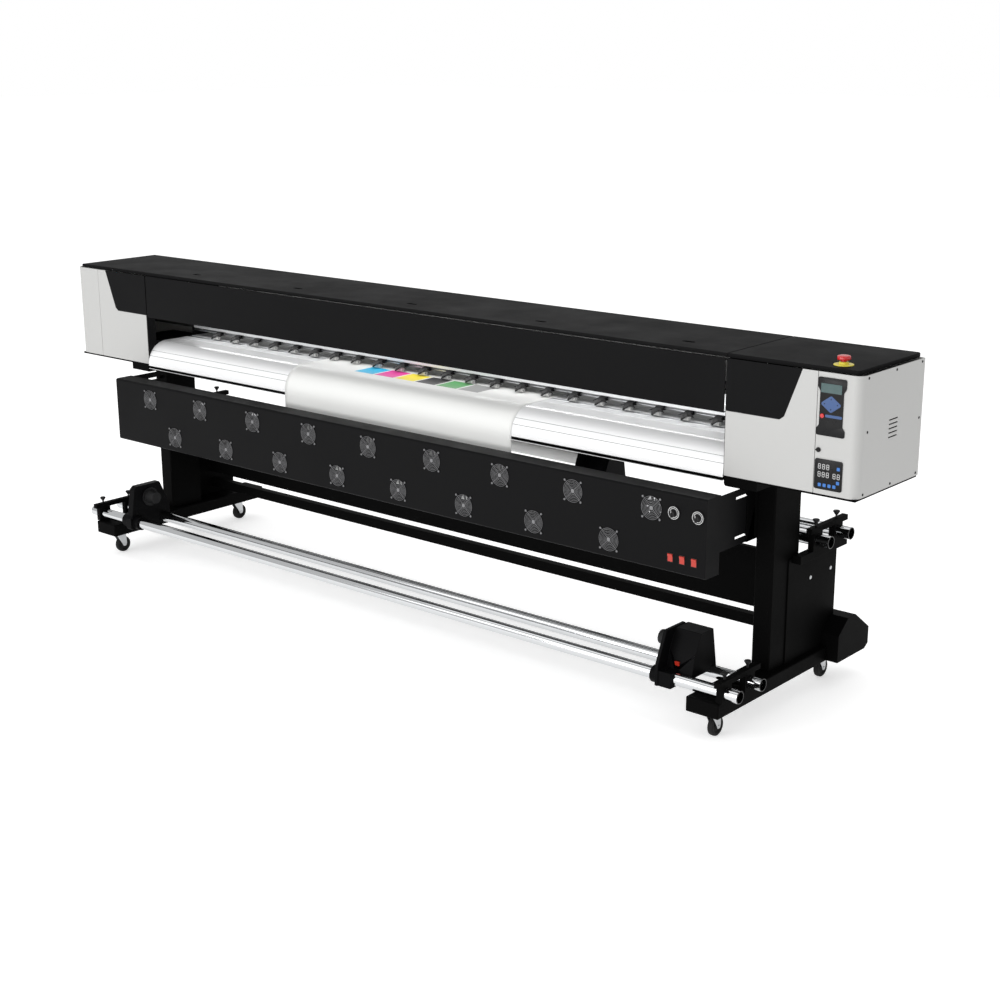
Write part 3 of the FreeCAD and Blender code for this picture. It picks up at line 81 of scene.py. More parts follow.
def solids(node):
    """The box of each separate solid in a CAD node, as (low, high) pairs."""
    mesh = bmesh.new()
    mesh.from_mesh(NODES[node].data)
    bmesh.ops.remove_doubles(mesh, verts=mesh.verts, dist=0.01 * MM)
    seen = set()
    boxes = []
    for start in mesh.verts:
        if start in seen:
            continue
        seen.add(start)
        todo = [start]
        low = start.co.copy()
        high = start.co.copy()
        while todo:
            vertex = todo.pop()
            for i in range(3):
                low[i] = min(low[i], vertex.co[i])
                high[i] = max(high[i], vertex.co[i])
            for edge in vertex.link_edges:
                other = edge.other_vert(vertex)
                if other not in seen:
                    seen.add(other)
                    todo.append(other)
        boxes.append((low, high))
    mesh.free()
    return boxes


def middle(pair):
    """The centre between two corners."""
    return (Vector(pair[0]) + Vector(pair[1])) / 2


def extent(pair):
    """The size between two corners."""
    return Vector(pair[1]) - Vector(pair[0])


# ---------------------------------------------------------------- mesh helpers


def object_from(name, mesh):
    """A linked object from a bmesh, which is freed."""
    data = bpy.data.meshes.new(name)
    mesh.to_mesh(data)
    mesh.free()
    obj = bpy.data.objects.new(name, data)
    bpy.context.scene.collection.objects.link(obj)
    return obj


def outward(mesh):
    """Joins the doubled corners of a bmesh and turns its faces outward."""
    bmesh.ops.remove_doubles(mesh, verts=mesh.verts, dist=0.001 * MM)
    bmesh.ops.recalc_face_normals(mesh, faces=mesh.faces)


def round_edges(mesh, width, segments=2, angle=30.0):
    """Bevels the edges of a bmesh that are sharper than an angle in degrees."""
    edges = [e for e in mesh.edges if e.is_manifold and e.calc_face_angle(0) > math.radians(angle)]
    bmesh.ops.bevel(mesh, geom=edges, offset=width, segments=segments, profile=0.5, affect="EDGES",
                    clamp_overlap=False)


def block(mesh, low, high):
    """Adds a box between two corners to a bmesh."""
    size = Vector(high) - Vector(low)
    made = bmesh.ops.create_cube(mesh, size=1.0)["verts"]
    bmesh.ops.scale(mesh, vec=size, verts=made)
    bmesh.ops.translate(mesh, vec=(Vector(high) + Vector(low)) / 2, verts=made)


def lathe(mesh, profile, axis, at, steps=48):
    """Adds a closed turned shape: profile is (distance along axis, radius) pairs, poles at radius 0."""
    along = {"x": Vector((1, 0, 0)), "y": Vector((0, 1, 0)), "z": Vector((0, 0, 1))}[axis]
    side = Vector((0, 1, 0)) if axis != "y" else Vector((0, 0, 1))
    up = along.cross(side)
    rows = []
    for distance, radius in profile:
        centre = Vector(at) + along * distance
        if radius == 0:
            rows.append([mesh.verts.new(centre)])
            continue
        rows.append([
            mesh.verts.new(centre + (side * math.cos(turn) + up * math.sin(turn)) * radius)
            for turn in (2 * math.pi * i / steps for i in range(steps))
        ])
    for near, far in zip(rows, rows[1:]):
        for i in range(steps):
            j = (i + 1) % steps
            corners = [near[i % len(near)], near[j % len(near)], far[j % len(far)], far[i % len(far)]]
            unique = list(dict.fromkeys(corners))
            if len(unique) > 2:
                mesh.faces.new(unique)
    return rows


def plate(mesh, outline, normal, start, depth):
    """Adds a flat outline, pushed along an axis.  Outline pairs are the other two axes in order."""
    order = {"x": (1, 2), "y": (0, 2), "z": (0, 1)}[normal]
    index = "xyz".index(normal)

    def corner(pair, level):
        point = [0.0, 0.0, 0.0]
        point[order[0]], point[order[1]] = pair
        point[index] = level
        return mesh.verts.new(point)

    near = [corner(pair, start) for pair in outline]
    far = [corner(pair, start + depth) for pair in outline]
    mesh.faces.new(near)
    mesh.faces.new(far[::-1])
    count = len(outline)
    for i in range(count):
        j = (i + 1) % count
        mesh.faces.new((near[i], far[i], far[j], near[j]))


def rounded_outline(points, radius, steps=5):
    """The same outline with each corner replaced by an arc."""
    result = []
    count = len(points)
    for i in range(count):
        before, here, after = (Vector(points[(i + k) % count]) for k in (-1, 0, 1))
        inward = (before - here).normalized()
        onward = (after - here).normalized()
        half = math.acos(max(-1.0, min(1.0, inward.dot(onward)))) / 2
        reach = min(radius / math.tan(half), (before - here).length / 2.1, (after - here).length / 2.1)
        centre = here + (inward + onward).normalized() * (reach / math.cos(half))
        first = here + inward * reach - centre
        last = here + onward * reach - centre
        turn = first.angle_signed(last)
        for k in range(steps + 1):
            arm = first.copy()
            arm.rotate(Matrix.Rotation(-turn * k / steps, 2))
            result.append(tuple(centre + arm))
    return result


def rounded_box(low, high, radius, steps=5):
    """The outline of a rectangle between two corners, with rounded corners."""
    (x0, z0), (x1, z1) = low, high
    return rounded_outline([(x0, z0), (x1, z0), (x1, z1), (x0, z1)], radius, steps)


def finish(obj, body, material, nodes=(), smooth=35.0):
    """Gives a piece its material, its body and the CAD nodes that it stands for."""
    if not obj.data.materials:
        obj.data.materials.append(material)
    obj.data.shade_smooth()
    obj.data.set_sharp_from_angle(angle=math.radians(smooth))
    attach(obj, body)
    if nodes:
        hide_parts(*nodes)
    return obj


def piece(name, mesh, body, material, nodes=(), smooth=35.0, rounding=()):
    """Closes a mesh and makes a finished piece of it.  Rounding holds what round_edges is told."""
    outward(mesh)
    if rounding:
        round_edges(mesh, *rounding)
    return finish(object_from(name, mesh), body, MATERIALS[material], nodes, smooth)


def coat(node, material):
    """Puts a material on a CAD node that keeps its own mesh."""
    obj = NODES[node]
    if obj.material_slots:
        for place in obj.material_slots:
            place.material = material
    else:
        obj.data.materials.append(material)


def softened(node, material, width=1.0, segments=2):
    """A copy of a CAD node with its sharp edges rounded, which stands for the node."""
    mesh = bmesh.new()
    mesh.from_mesh(NODES[node].data)
    bmesh.ops.remove_doubles(mesh, verts=mesh.verts, dist=0.01 * MM)
    bmesh.ops.dissolve_limit(mesh, angle_limit=math.radians(0.6), verts=mesh.verts, edges=mesh.edges)
    round_edges(mesh, width * MM, segments)
    obj = object_from(node + "_shell", mesh)
    finish(obj, BODIES[node], material, (node,), smooth=50.0)
    weighted = obj.modifiers.new("even_faces", "WEIGHTED_NORMAL")
    weighted.keep_sharp = True
    return obj


# ---------------------------------------------------------------- nodes


def fill(tree, node, inputs):
    """Gives each named input of a node a value, or links it to a socket."""
    for key, value in inputs.items():
        if isinstance(value, bpy.types.NodeSocket):
            tree.links.new(value, node.inputs[key])
        else:
            node.inputs[key].default_value = value
    return node


def add(tree, kind, inputs=None, **settings):
    """Adds a node, makes its settings and fills its inputs."""
    node = tree.nodes.new(kind)
    for key, value in settings.items():
        setattr(node, key, value)
    return fill(tree, node, inputs or {})


def maths(tree, operation, *values):
    """The result of a maths node on values or sockets."""
    return add(tree, "ShaderNodeMath", dict(enumerate(values)), operation=operation).outputs["Value"]


def ranged(tree, value, low, high, start=0.0, end=1.0):
    """A value that goes from low to high while the given one goes from start to end."""
    return add(tree, "ShaderNodeMapRange", {
        "Value": value, "From Min": start, "From Max": end, "To Min": low, "To Max": high,
    }).outputs["Result"]


def node_group(kind, name, inputs, outputs):
    """A group with its sockets: (label, type, value) for inputs and (label, type) for outputs."""
    tree = bpy.data.node_groups.new(name, kind)
    for label, socket_type, value in inputs:
        socket = tree.interface.new_socket(label, in_out="INPUT", socket_type="NodeSocket" + socket_type)
        if value is not None:
            socket.default_value = value
    for label, socket_type in outputs:
        tree.interface.new_socket(label, in_out="OUTPUT", socket_type="NodeSocket" + socket_type)
    return tree, tree.nodes.new("NodeGroupInput").outputs, tree.nodes.new("NodeGroupOutput")


def geometry_group(name, inputs):
    """A geometry group, with one geometry in and one out beside its own inputs."""
    return node_group("GeometryNodeTree", name, [("Geometry", "Geometry", None)] + inputs,
                      [("Geometry", "Geometry")])


def spread(tree, given, result, unit):
    """Ends a tree with real copies of a unit on the given points, in the given finish."""
    copies = add(tree, "GeometryNodeInstanceOnPoints", {"Points": given["Geometry"], "Instance": unit})
    solid = add(tree, "GeometryNodeRealizeInstances", {"Geometry": copies.outputs["Instances"]})
    paint = add(tree, "GeometryNodeSetMaterial", {"Geometry": solid.outputs["Geometry"],
                                                  "Material": given["Finish"]})
    fill(tree, result, {"Geometry": paint.outputs["Geometry"]})
    return tree


def repeat_tree():
    """Sets one copy of a unit object on every point."""
    tree, given, result = geometry_group("repeat_unit", [("Unit", "Object", None),
                                                         ("Finish", "Material", None)])
    unit = add(tree, "GeometryNodeObjectInfo", {"Object": given["Unit"]})
    return spread(tree, given, result, unit.outputs["Geometry"])


def guard_tree():
    """A wire fan guard on every point: rings round the y axis on a cross of two wires."""
    tree, given, result = geometry_group("wire_guard", [
        ("Rings", "Int", 6),
        ("Inner Radius", "Float", 8 * MM),
        ("Ring Spacing", "Float", 6.2 * MM),
        ("Wire Radius", "Float", 1.0 * MM),
        ("Cross Length", "Float", 112 * MM),
        ("Finish", "Material", None),
    ])

    def new(kind, **inputs):
        """Adds a geometry node and gives its first output.  Input names have _ for a space."""
        named = {label.replace("_", " "): value for label, value in inputs.items()}
        return add(tree, "GeometryNode" + kind, named).outputs[0]

    def joined(parts):
        join = tree.nodes.new("GeometryNodeJoinGeometry")
        for part in parts:
            tree.links.new(part, join.inputs["Geometry"])
        return join.outputs["Geometry"]

    row = new("MeshLine", Offset=(0, 0, 0), Count=given["Rings"])
    radius = maths(tree, "MULTIPLY_ADD", new("InputIndex"), given["Ring Spacing"], given["Inner Radius"])
    circle = new("CurvePrimitiveCircle", Resolution=40, Radius=1.0)
    rings = new("RealizeInstances",
                Geometry=new("InstanceOnPoints", Points=row, Instance=circle, Scale=radius))

    half = maths(tree, "MULTIPLY", given["Cross Length"], 0.5)
    start = add(tree, "ShaderNodeCombineXYZ", {"X": maths(tree, "MULTIPLY", half, -1.0)})
    end = add(tree, "ShaderNodeCombineXYZ", {"X": half})
    wire = new("CurvePrimitiveLine", Start=start.outputs["Vector"], End=end.outputs["Vector"])
    cross = [new("Transform", Rotation=(0, 0, turn), Translation=(0, 0, -1.6 * MM), Geometry=wire)
             for turn in (math.pi / 4, -math.pi / 4)]
    section = new("CurvePrimitiveCircle", Resolution=6, Radius=given["Wire Radius"])
    wires = new("CurveToMesh", Fill_Caps=True, Curve=joined([rings] + cross), Profile_Curve=section)

    boss = new("MeshCylinder", Vertices=20, Radius=8.6 * MM, Depth=1.6 * MM)
    lug = new("MeshCylinder", Vertices=14, Radius=4.2 * MM, Depth=3.0 * MM)
    parts = [wires, boss]
    for k in range(4):
        turn = math.pi / 4 + k * math.pi / 2
        arm = add(tree, "ShaderNodeVectorMath", {0: (math.cos(turn), math.sin(turn), 0), "Scale": half},
                  operation="SCALE")
        parts.append(new("Transform", Geometry=lug, Translation=arm.outputs["Vector"]))
    return spread(tree, given, result,
                  new("Transform", Rotation=(math.pi / 2, 0, 0), Geometry=joined(parts)))


def grown(name, tree, points, **inputs):
    """Runs a tree on bare points and returns the result as a plain mesh object."""
    seed = bpy.data.meshes.new(name + "_points")
    seed.from_pydata([tuple(p) for p in points], [], [])
    holder = bpy.data.objects.new(name + "_points", seed)
    bpy.context.scene.collection.objects.link(holder)
    modifier = holder.modifiers.new("grow", "NODES")
    modifier.node_group = tree
    sockets = {item.name: item.identifier for item in tree.interface.items_tree
               if item.in_out == "INPUT"}
    for label, value in inputs.items():
        modifier[sockets[label.replace("_", " ")]] = value
    bpy.context.view_layer.update()
    ready = holder.evaluated_get(bpy.context.evaluated_depsgraph_get())
    data = bpy.data.meshes.new_from_object(ready)
    data.name = name
    obj = bpy.data.objects.new(name, data)
    bpy.context.scene.collection.objects.link(obj)
    holder.modifiers.clear()
    bpy.data.objects.remove(holder)
    return obj


def repeated(name, unit, points, material, body, nodes=(), smooth=35.0):
    """Copies of a unit mesh on each point, as one plain piece."""
    obj = grown(name, TREES["repeat"], points, Unit=unit, Finish=material)
    bpy.data.objects.remove(unit)
    return finish(obj, body, material, nodes, smooth)


# ---------------------------------------------------------------- materials


def grain_group():
    """Fine relief, a slow drift of tone and small specks, all on object coordinates."""
    tree, given, result = node_group(
        "ShaderNodeTree", "surface_grain",
        [("Grain Scale", "Float", 600.0), ("Stretch", "Vector", (1.0, 1.0, 1.0)),
         ("Tone Scale", "Float", 2.5)],
        [("Height", "Float"), ("Tone", "Float"), ("Speckle", "Float")])
    place = add(tree, "ShaderNodeTexCoord").outputs["Object"]
    spot = add(tree, "ShaderNodeVectorMath", {0: place, 1: given["Stretch"]},
               operation="MULTIPLY").outputs["Vector"]
    fine = add(tree, "ShaderNodeTexNoise",
               {"Vector": spot, "Scale": given["Grain Scale"], "Detail": 2.0})
    slow = add(tree, "ShaderNodeTexNoise",
               {"Vector": spot, "Scale": given["Tone Scale"], "Detail": 4.0, "Roughness": 0.62})
    speck = add(tree, "ShaderNodeTexVoronoi", {"Vector": spot, "Scale": given["Grain Scale"]})
    fill(tree, result, {"Height": fine.outputs["Fac"], "Tone": slow.outputs["Fac"],
                        "Speckle": speck.outputs["Distance"]})
    return tree


def surface(name, colour, roughness, metallic=0.0, scale=600.0, stretch=(1, 1, 1), relief=0.06,
            tone=0.06, swing=0.08, specular=0.5, coat_weight=0.0, tone_scale=2.5, depth=0.1,
            speckle=0.0):
    """A finish whose colour, roughness and relief all come from the surface grain group."""
    material = bpy.data.materials.new(name)
    material.use_nodes = True
    tree = material.node_tree
    grain = add(tree, "ShaderNodeGroup",
                {"Grain Scale": scale, "Stretch": stretch, "Tone Scale": tone_scale},
                node_tree=TREES["grain"]).outputs
    shade = add(tree, "ShaderNodeMix", {
        "A": [max(0.0, c * (1 - tone)) for c in colour] + [1],
        "B": [min(1.0, c * (1 + tone)) for c in colour] + [1],
        "Factor": grain["Tone"],
    }, data_type="RGBA", name="shade")
    painted = shade.outputs["Result"]
    if speckle:
        lift = ranged(tree, grain["Speckle"], 1.0 + speckle, 1.0, 0.0, 0.35)
        painted = add(tree, "ShaderNodeVectorMath", {0: painted, "Scale": lift},
                      operation="SCALE").outputs["Vector"]
    rough = ranged(tree, grain["Tone"], max(0.02, roughness - swing), min(1.0, roughness + swing),
                   0.3, 0.7)
    bump = add(tree, "ShaderNodeBump",
               {"Strength": relief, "Distance": depth * MM, "Height": grain["Height"]})
    fill(tree, tree.nodes["Principled BSDF"], {
        "Metallic": metallic, "Specular IOR Level": specular, "Coat Weight": coat_weight,
        "Coat Roughness": 0.08, "Base Color": painted, "Roughness": rough,
        "Normal": bump.outputs["Normal"]})
    return material


def recoloured(material, colour, inside, base=None):
    """Mixes a plain colour over a material's own by a factor, and gives the mixed colour."""
    tree = material.node_tree
    if base is None:
        base = tree.nodes["shade"].outputs["Result"]
    mixed = add(tree, "ShaderNodeMix", {"A": base, "B": (*colour, 1), "Factor": inside},
                data_type="RGBA").outputs["Result"]
    fill(tree, tree.nodes["Principled BSDF"], {"Base Color": mixed})
    return mixed


def banded(material, axis, bands, colour, metallic=None):
    """Colours a material within each (centre, half width) band along one object axis."""
    tree = material.node_tree
    place = add(tree, "ShaderNodeTexCoord").outputs["Object"]
    split = add(tree, "ShaderNodeSeparateXYZ", {"Vector": place})
    size = maths(tree, "ABSOLUTE", split.outputs[axis])
    inside = reduce(lambda one, other: maths(tree, "MAXIMUM", one, other),
                    [maths(tree, "COMPARE", size, centre, half) for centre, half in bands])
    recoloured(material, colour, inside)
    if metallic is not None:
        fill(tree, tree.nodes["Principled BSDF"], {"Metallic": ranged(tree, inside, metallic, 0.0)})
    return material


def rolled_media():
    """White sheet, with the fine rings of its layers where the roll's ends show."""
    centre = middle(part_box("feed_roll"))
    material = surface("rolled_media", (0.86, 0.86, 0.85), 0.5, scale=900, relief=0.03, tone=0.02)
    tree = material.node_tree
    place = add(tree, "ShaderNodeTexCoord").outputs["Object"]
    shift = add(tree, "ShaderNodeMapping", {"Vector": place, "Location": tuple(-centre)})
    flat = add(tree, "ShaderNodeVectorMath", {0: shift.outputs["Vector"], 1: (0, 1, 1)},
               operation="MULTIPLY")
    reach = add(tree, "ShaderNodeVectorMath", {0: flat.outputs["Vector"]}, operation="LENGTH")
    wave = maths(tree, "SINE", maths(tree, "MULTIPLY", reach.outputs["Value"], LAYER_WAVES))
    recoloured(material, (0.62, 0.6, 0.56), ranged(tree, wave, 0.0, 0.6, 0.2))
    return material


def printed_media():
    """Coated sheet with a printed row of plain colour patches, placed on the sheet's own UV map."""
    material = surface("printed_media", (0.76, 0.765, 0.75), 0.42, scale=1200, relief=0.04, tone=0.015,
                       tone_scale=5.0)
    tree = material.node_tree
    sheet = add(tree, "ShaderNodeUVMap", uv_map="sheet")
    split = add(tree, "ShaderNodeSeparateXYZ", {"Vector": sheet.outputs["UV"]}).outputs
    colour = None
    for i, ink in enumerate(PATCH_INKS):
        across = maths(tree, "COMPARE", split["X"], PATCH_START + PATCH_STEP * i, PATCH_HALF_WIDTH)
        along = maths(tree, "COMPARE", split["Y"], 0.5, PATCH_HALF_LENGTH)
        colour = recoloured(material, ink, maths(tree, "MULTIPLY", across, along), colour)
    return material


def chrome_rod():
    """Chrome plate, with a black plastic rim where the tube ends."""
    material = surface("chrome_plate", (0.6, 0.61, 0.62), 0.09, metallic=1.0, scale=60,
                       stretch=(0.1, 1, 1), relief=0.01, tone=0.03, swing=0.03)
    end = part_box("roll_rods")[1][0]
    return banded(material, "X", [(end, 0.8 * MM)], DEEP_BLACK, metallic=1.0)


def beam_anodising_and_painted_shade():
    """Brushed aluminium, with painted shade: near-black where the beam runs on inside the housings, where shade
    falls.
    """
    material = surface("beam_anodising_and_painted_shade", (0.72, 0.73, 0.74), 0.34, metallic=0.6, scale=900,
                       stretch=(0.02, 1, 1), relief=0.12, tone=0.05)
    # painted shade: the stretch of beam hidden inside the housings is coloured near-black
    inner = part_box("front_heater")[1][0] - 12 * MM
    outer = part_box("guide_beam")[1][0] + 1 * MM
    return banded(material, "X", [((inner + outer) / 2, (outer - inner) / 2)], DEEP_BLACK,
                  metallic=0.6)


def heater_enamel():
    """White enamel, with a dark line along each joint between the plate's strips."""
    material = surface("heater_enamel", (0.84, 0.845, 0.85), 0.22, scale=260, relief=0.02,
                       tone=0.012, swing=0.04, coat_weight=0.35)
    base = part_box("front_heater")[1][2] - HEATER_BEND
    bands = []
    for turn in HEATER_SEAMS:
        angle = math.radians(turn)
        bands.append((base + HEATER_BEND * math.sin(angle), HEATER_GROOVE * math.cos(angle)))
    bands.append((base - HEATER_FLAT_SEAM, HEATER_GROOVE))
    return banded(material, "Z", bands, (0.16, 0.165, 0.17))


def cover_paint(looks):
    """White paint on the covers, near-black in a thin band along the edges beside the opening."""
    material = surface("cover_paint", tuple(looks.cover_colour), 0.42, scale=420, relief=0.05,
                       tone=0.015, swing=0.05, specular=0.4)
    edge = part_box("front_heater")[1][0]
    return banded(material, "X", [(edge, 2.6 * MM)], (0.008, 0.008, 0.008))


MATERIALS = {}
TREES = {}


def make_materials(looks):
    M = MATERIALS
    M["cover"] = cover_paint(looks)
    M["lid"] = surface("lid_paint", tuple(looks.lid_colour), 0.5, scale=900, relief=0.14, tone=0.05,
                       specular=0.02, speckle=0.15)
    M["black"] = surface("black_panel_paint", tuple(looks.panel_colour), 0.45, scale=800, relief=0.1,
                         tone=0.1, specular=0.05, speckle=0.2)
    M["stand"] = surface("stand_powder_coat", tuple(looks.stand_colour), 0.5, scale=1100, relief=0.3,
                         tone=0.15, specular=0.015, depth=0.2, speckle=0.3)
    M["unit"] = surface("unit_paint", (0.003, 0.003, 0.0033), 0.38, scale=900, relief=0.2, tone=0.12,
                        specular=0.03, speckle=0.25)
    M["heater"] = heater_enamel()
    M["beam"] = beam_anodising_and_painted_shade()
    M["steel"] = surface("bright_steel", (0.5, 0.51, 0.52), 0.3, metallic=1.0, scale=700, relief=0.08,
                         tone=0.1)
    M["wire"] = surface("plated_wire", (0.17, 0.17, 0.175), 0.36, metallic=0.7, scale=500, relief=0.05,
                        tone=0.12, tone_scale=30.0)
    M["chrome"] = chrome_rod()
    M["bed"] = surface("platen_anodised", (0.8, 0.81, 0.82), 0.3, metallic=0.25, scale=900,
                       stretch=(0.02, 1, 1), relief=0.08, tone=0.04)
    M["plastic"] = surface("black_plastic", (0.007, 0.007, 0.0075), 0.5, scale=1500, relief=0.16,
                           tone=0.12, specular=0.2, tone_scale=12.0)
    M["grey"] = surface("grey_plastic", (0.22, 0.22, 0.23), 0.5, scale=1200, relief=0.1, tone=0.06)
    M["rubber"] = surface("black_rubber", (0.009, 0.009, 0.009), 0.75, scale=1400, relief=0.35,
                          tone=0.2, specular=0.2, tone_scale=14.0)
    M["pale_rubber"] = surface("pale_rubber", (0.55, 0.55, 0.54), 0.6, scale=1400, relief=0.2, tone=0.06,
                               tone_scale=14.0)
    M["red"] = surface("red_plastic", (0.52, 0.009, 0.011), 0.26, scale=700, relief=0.03, tone=0.05,
                       coat_weight=0.25, tone_scale=20.0)
    M["switch"] = surface("rocker_red", (0.4, 0.022, 0.01), 0.35, scale=700, relief=0.04, tone=0.08,
                          tone_scale=30.0)
    M["yellow"] = surface("yellow_plastic", (0.72, 0.63, 0.06), 0.35, scale=700, relief=0.03,
                          tone=0.04, tone_scale=20.0)
    M["blue"] = surface("blue_key", (0.018, 0.062, 0.19), 0.38, scale=900, relief=0.05, tone=0.08,
                        tone_scale=40.0)
    M["blue_bright"] = surface("blue_key_bright", (0.014, 0.13, 0.43), 0.38, scale=900, relief=0.05,
                               tone=0.08, tone_scale=40.0)
    M["mark"] = surface("printed_mark", (0.55, 0.55, 0.55), 0.5, scale=900, relief=0.02, tone=0.03)
    M["film"] = surface("panel_film", (0.006, 0.006, 0.0065), 0.3, scale=1000, relief=0.06, tone=0.1,
                        specular=0.16, tone_scale=15.0)
    M["window"] = surface("display_window", (0.014, 0.056, 0.055), 0.16, scale=300, relief=0.01,
                          tone=0.12, tone_scale=20.0, coat_weight=0.6)
    M["roll"] = rolled_media()
    M["media"] = printed_media()
    M["belt"] = surface("belt_rubber", (0.03, 0.03, 0.03), 0.7, scale=260, stretch=(1, 0.02, 0.02),
                        relief=0.8, tone=0.2, depth=0.6)


# ---------------------------------------------------------------- properties


class PrinterLooks(bpy.types.PropertyGroup):
    """Sizes and colours that a user would change."""

    cover_colour: bpy.props.FloatVectorProperty(
        name="Cover colour", description="Paint of the end housings", subtype="COLOR", size=3,
        min=0, max=1, default=(0.425, 0.425, 0.417))
    lid_colour: bpy.props.FloatVectorProperty(
        name="Lid colour", description="Paint of the top lid", subtype="COLOR", size=3,
        min=0, max=1, default=(0.0085, 0.0085, 0.0088))
    panel_colour: bpy.props.FloatVectorProperty(
        name="Dark panel colour", description="Paint of the flap, insets and dryer box",
        subtype="COLOR", size=3, min=0, max=1, default=(0.0038, 0.0038, 0.0041))
    stand_colour: bpy.props.FloatVectorProperty(
        name="Stand colour", description="Powder coat of the stand", subtype="COLOR", size=3,
        min=0, max=1, default=(0.0024, 0.0024, 0.0024))
    ambient: bpy.props.FloatProperty(
        name="Ambient light", description="Strength of the light from all round", default=0.72,
        min=0, max=2)
    edge_width: bpy.props.FloatProperty(
        name="Edge width", description="Width of a folded sheet's rounded edge, in millimetres",
        default=1.2, min=0.2, max=2.5)
    sheet_thickness: bpy.props.FloatProperty(
        name="Sheet thickness", description="Thickness of the loaded media", unit="LENGTH",
        default=0.4 * MM, min=0.1 * MM, max=0.8 * MM)
    guard_rings: bpy.props.IntProperty(
        name="Guard rings", description="Rings in each wire fan guard", default=7, min=3, max=9)
    guard_wire: bpy.props.FloatProperty(
        name="Guard wire radius", description="Radius of the guard wire", unit="LENGTH",
        default=1.0 * MM, min=0.5 * MM, max=1.5 * MM)


def looks():
    return bpy.context.scene.printer_looks


class PrinterOperator:
    """What every operator of this file shares."""

    bl_options = {"REGISTER"}

    def execute(self, context):
        self.build(looks())
        return {"FINISHED"}


# ---------------------------------------------------------------- stage

CAMERA_PLACE = (4.9219, -5.2848, 2.5382)
CAMERA_YAW = 40.537
CAMERA_PITCH = -15.713
CAMERA_ROLL = -0.212
CAMERA_LENS = 59.34
SENSOR = 36.0
FLOOR_REACH = 60
FLOOR_GLOW = 0.5
LIGHTS = (
    ("key_light", (-3.5, -8.0, 5.5), (0, 0, 0.9), (7, 4), 150),
    ("top_light", (0, 0, 6.0), (0, 0, 0), (9, 5), 80),
    ("opening_light", (0, 0.02, 1.19), (0, -0.06, 1.07), (3.3, 0.03), 3.2),
    ("front_light", (0.4, -6.0, 1.35), (0, 0, 1.1), (7, 1.2), 150),
)


def area_light(name, place, aim, size, power):
    data = bpy.data.lights.new(name, "AREA")
    data.shape = "RECTANGLE"
    data.size, data.size_y = size
    data.energy = power
    lamp = bpy.data.objects.new(name, data)
    lamp.location = place
    lamp.rotation_euler = (Vector(aim) - Vector(place)).to_track_quat("-Z", "Y").to_euler()
    bpy.context.scene.collection.objects.link(lamp)


class PRINTER_OT_stage(PrinterOperator, bpy.types.Operator):
    """Adds the floor, the studio light and the camera"""

    bl_idname = "printer.stage"
    bl_label = "Stage"

    def build(self, look):
        scene = bpy.context.scene
        mesh = bmesh.new()
        bmesh.ops.create_grid(mesh, x_segments=2, y_segments=2, size=FLOOR_REACH)
        floor = object_from("studio_floor", mesh)
        paint = surface("studio_floor_paint", (0.86, 0.86, 0.86), 0.9, scale=3, relief=0.0, tone=0.005,
                        specular=0.1)
        fill(paint.node_tree, paint.node_tree.nodes["Principled BSDF"],
             {"Emission Color": (1, 1, 1, 1), "Emission Strength": FLOOR_GLOW})
        floor.data.materials.append(paint)

        world = bpy.data.worlds.new("studio_light")
        world.use_nodes = True
        sky = world.node_tree
        rays = add(sky, "ShaderNodeLightPath")
        strength = ranged(sky, rays.outputs["Is Camera Ray"], look.ambient, 1.0)
        fill(sky, sky.nodes["Background"], {"Color": (1, 1, 1, 1), "Strength": strength})
        scene.world = world
        for light in LIGHTS:
            area_light(*light)

        data = bpy.data.cameras.new("view_camera")
        data.sensor_width = SENSOR
        data.lens = CAMERA_LENS
        data.clip_end = 200
        data.dof.use_dof = False
        camera = bpy.data.objects.new("view_camera", data)
        yaw, pitch, roll = (math.radians(a) for a in (CAMERA_YAW, CAMERA_PITCH, CAMERA_ROLL))
        ahead = Vector((-math.sin(yaw) * math.cos(pitch), math.cos(yaw) * math.cos(pitch),
                        math.sin(pitch)))
        right = Vector((math.cos(yaw), math.sin(yaw), 0))
        up = right.cross(ahead)
        side = right * math.cos(roll) + up * math.sin(roll)
        top = up * math.cos(roll) - right * math.sin(roll)
        facing = Matrix((side, top, -ahead)).transposed().to_4x4()
        camera.matrix_world = Matrix.Translation(CAMERA_PLACE) @ facing
        scene.collection.objects.link(camera)
        scene.camera = camera
        scene.view_settings.view_transform = "Standard"


# ---------------------------------------------------------------- stand


class PRINTER_OT_stand(PrinterOperator, bpy.types.Operator):
    """Finishes the feet, columns, plates, cross members and power box"""

    bl_idname = "printer.stand"
    bl_label = "Stand"

    def build(self, look):
        black = MATERIALS["stand"]
        for node in ("columns", "side_plates", "cross_panel", "crossbar", "power_box", "chassis",
                     "dryer_arms", "rod_brackets"):
            softened(node, black, look.edge_width)
        coat("feet", black)
        softened("power_inlet", MATERIALS["plastic"], 0.6)


def wheel_profile(radius, width):
    """Half section of a castor wheel: tread, side wall, dished hub."""
    half = width / 2
    return [
        (-half * 0.55, 0), (-half * 0.55, radius * 0.2), (-half * 0.5, radius * 0.24),
        (-half * 0.5, radius * 0.62), (-half * 0.92, radius * 0.7), (-half, radius * 0.76),
        (-half, radius * 0.9), (-half * 0.8, radius * 0.975), (-half * 0.35, radius),
        (half * 0.35, radius), (half * 0.8, radius * 0.975), (half, radius * 0.9),
        (half, radius * 0.76), (half * 0.92, radius * 0.7), (half * 0.5, radius * 0.62),
        (half * 0.5, radius * 0.24), (half * 0.55, radius * 0.2), (half * 0.55, 0),
    ]


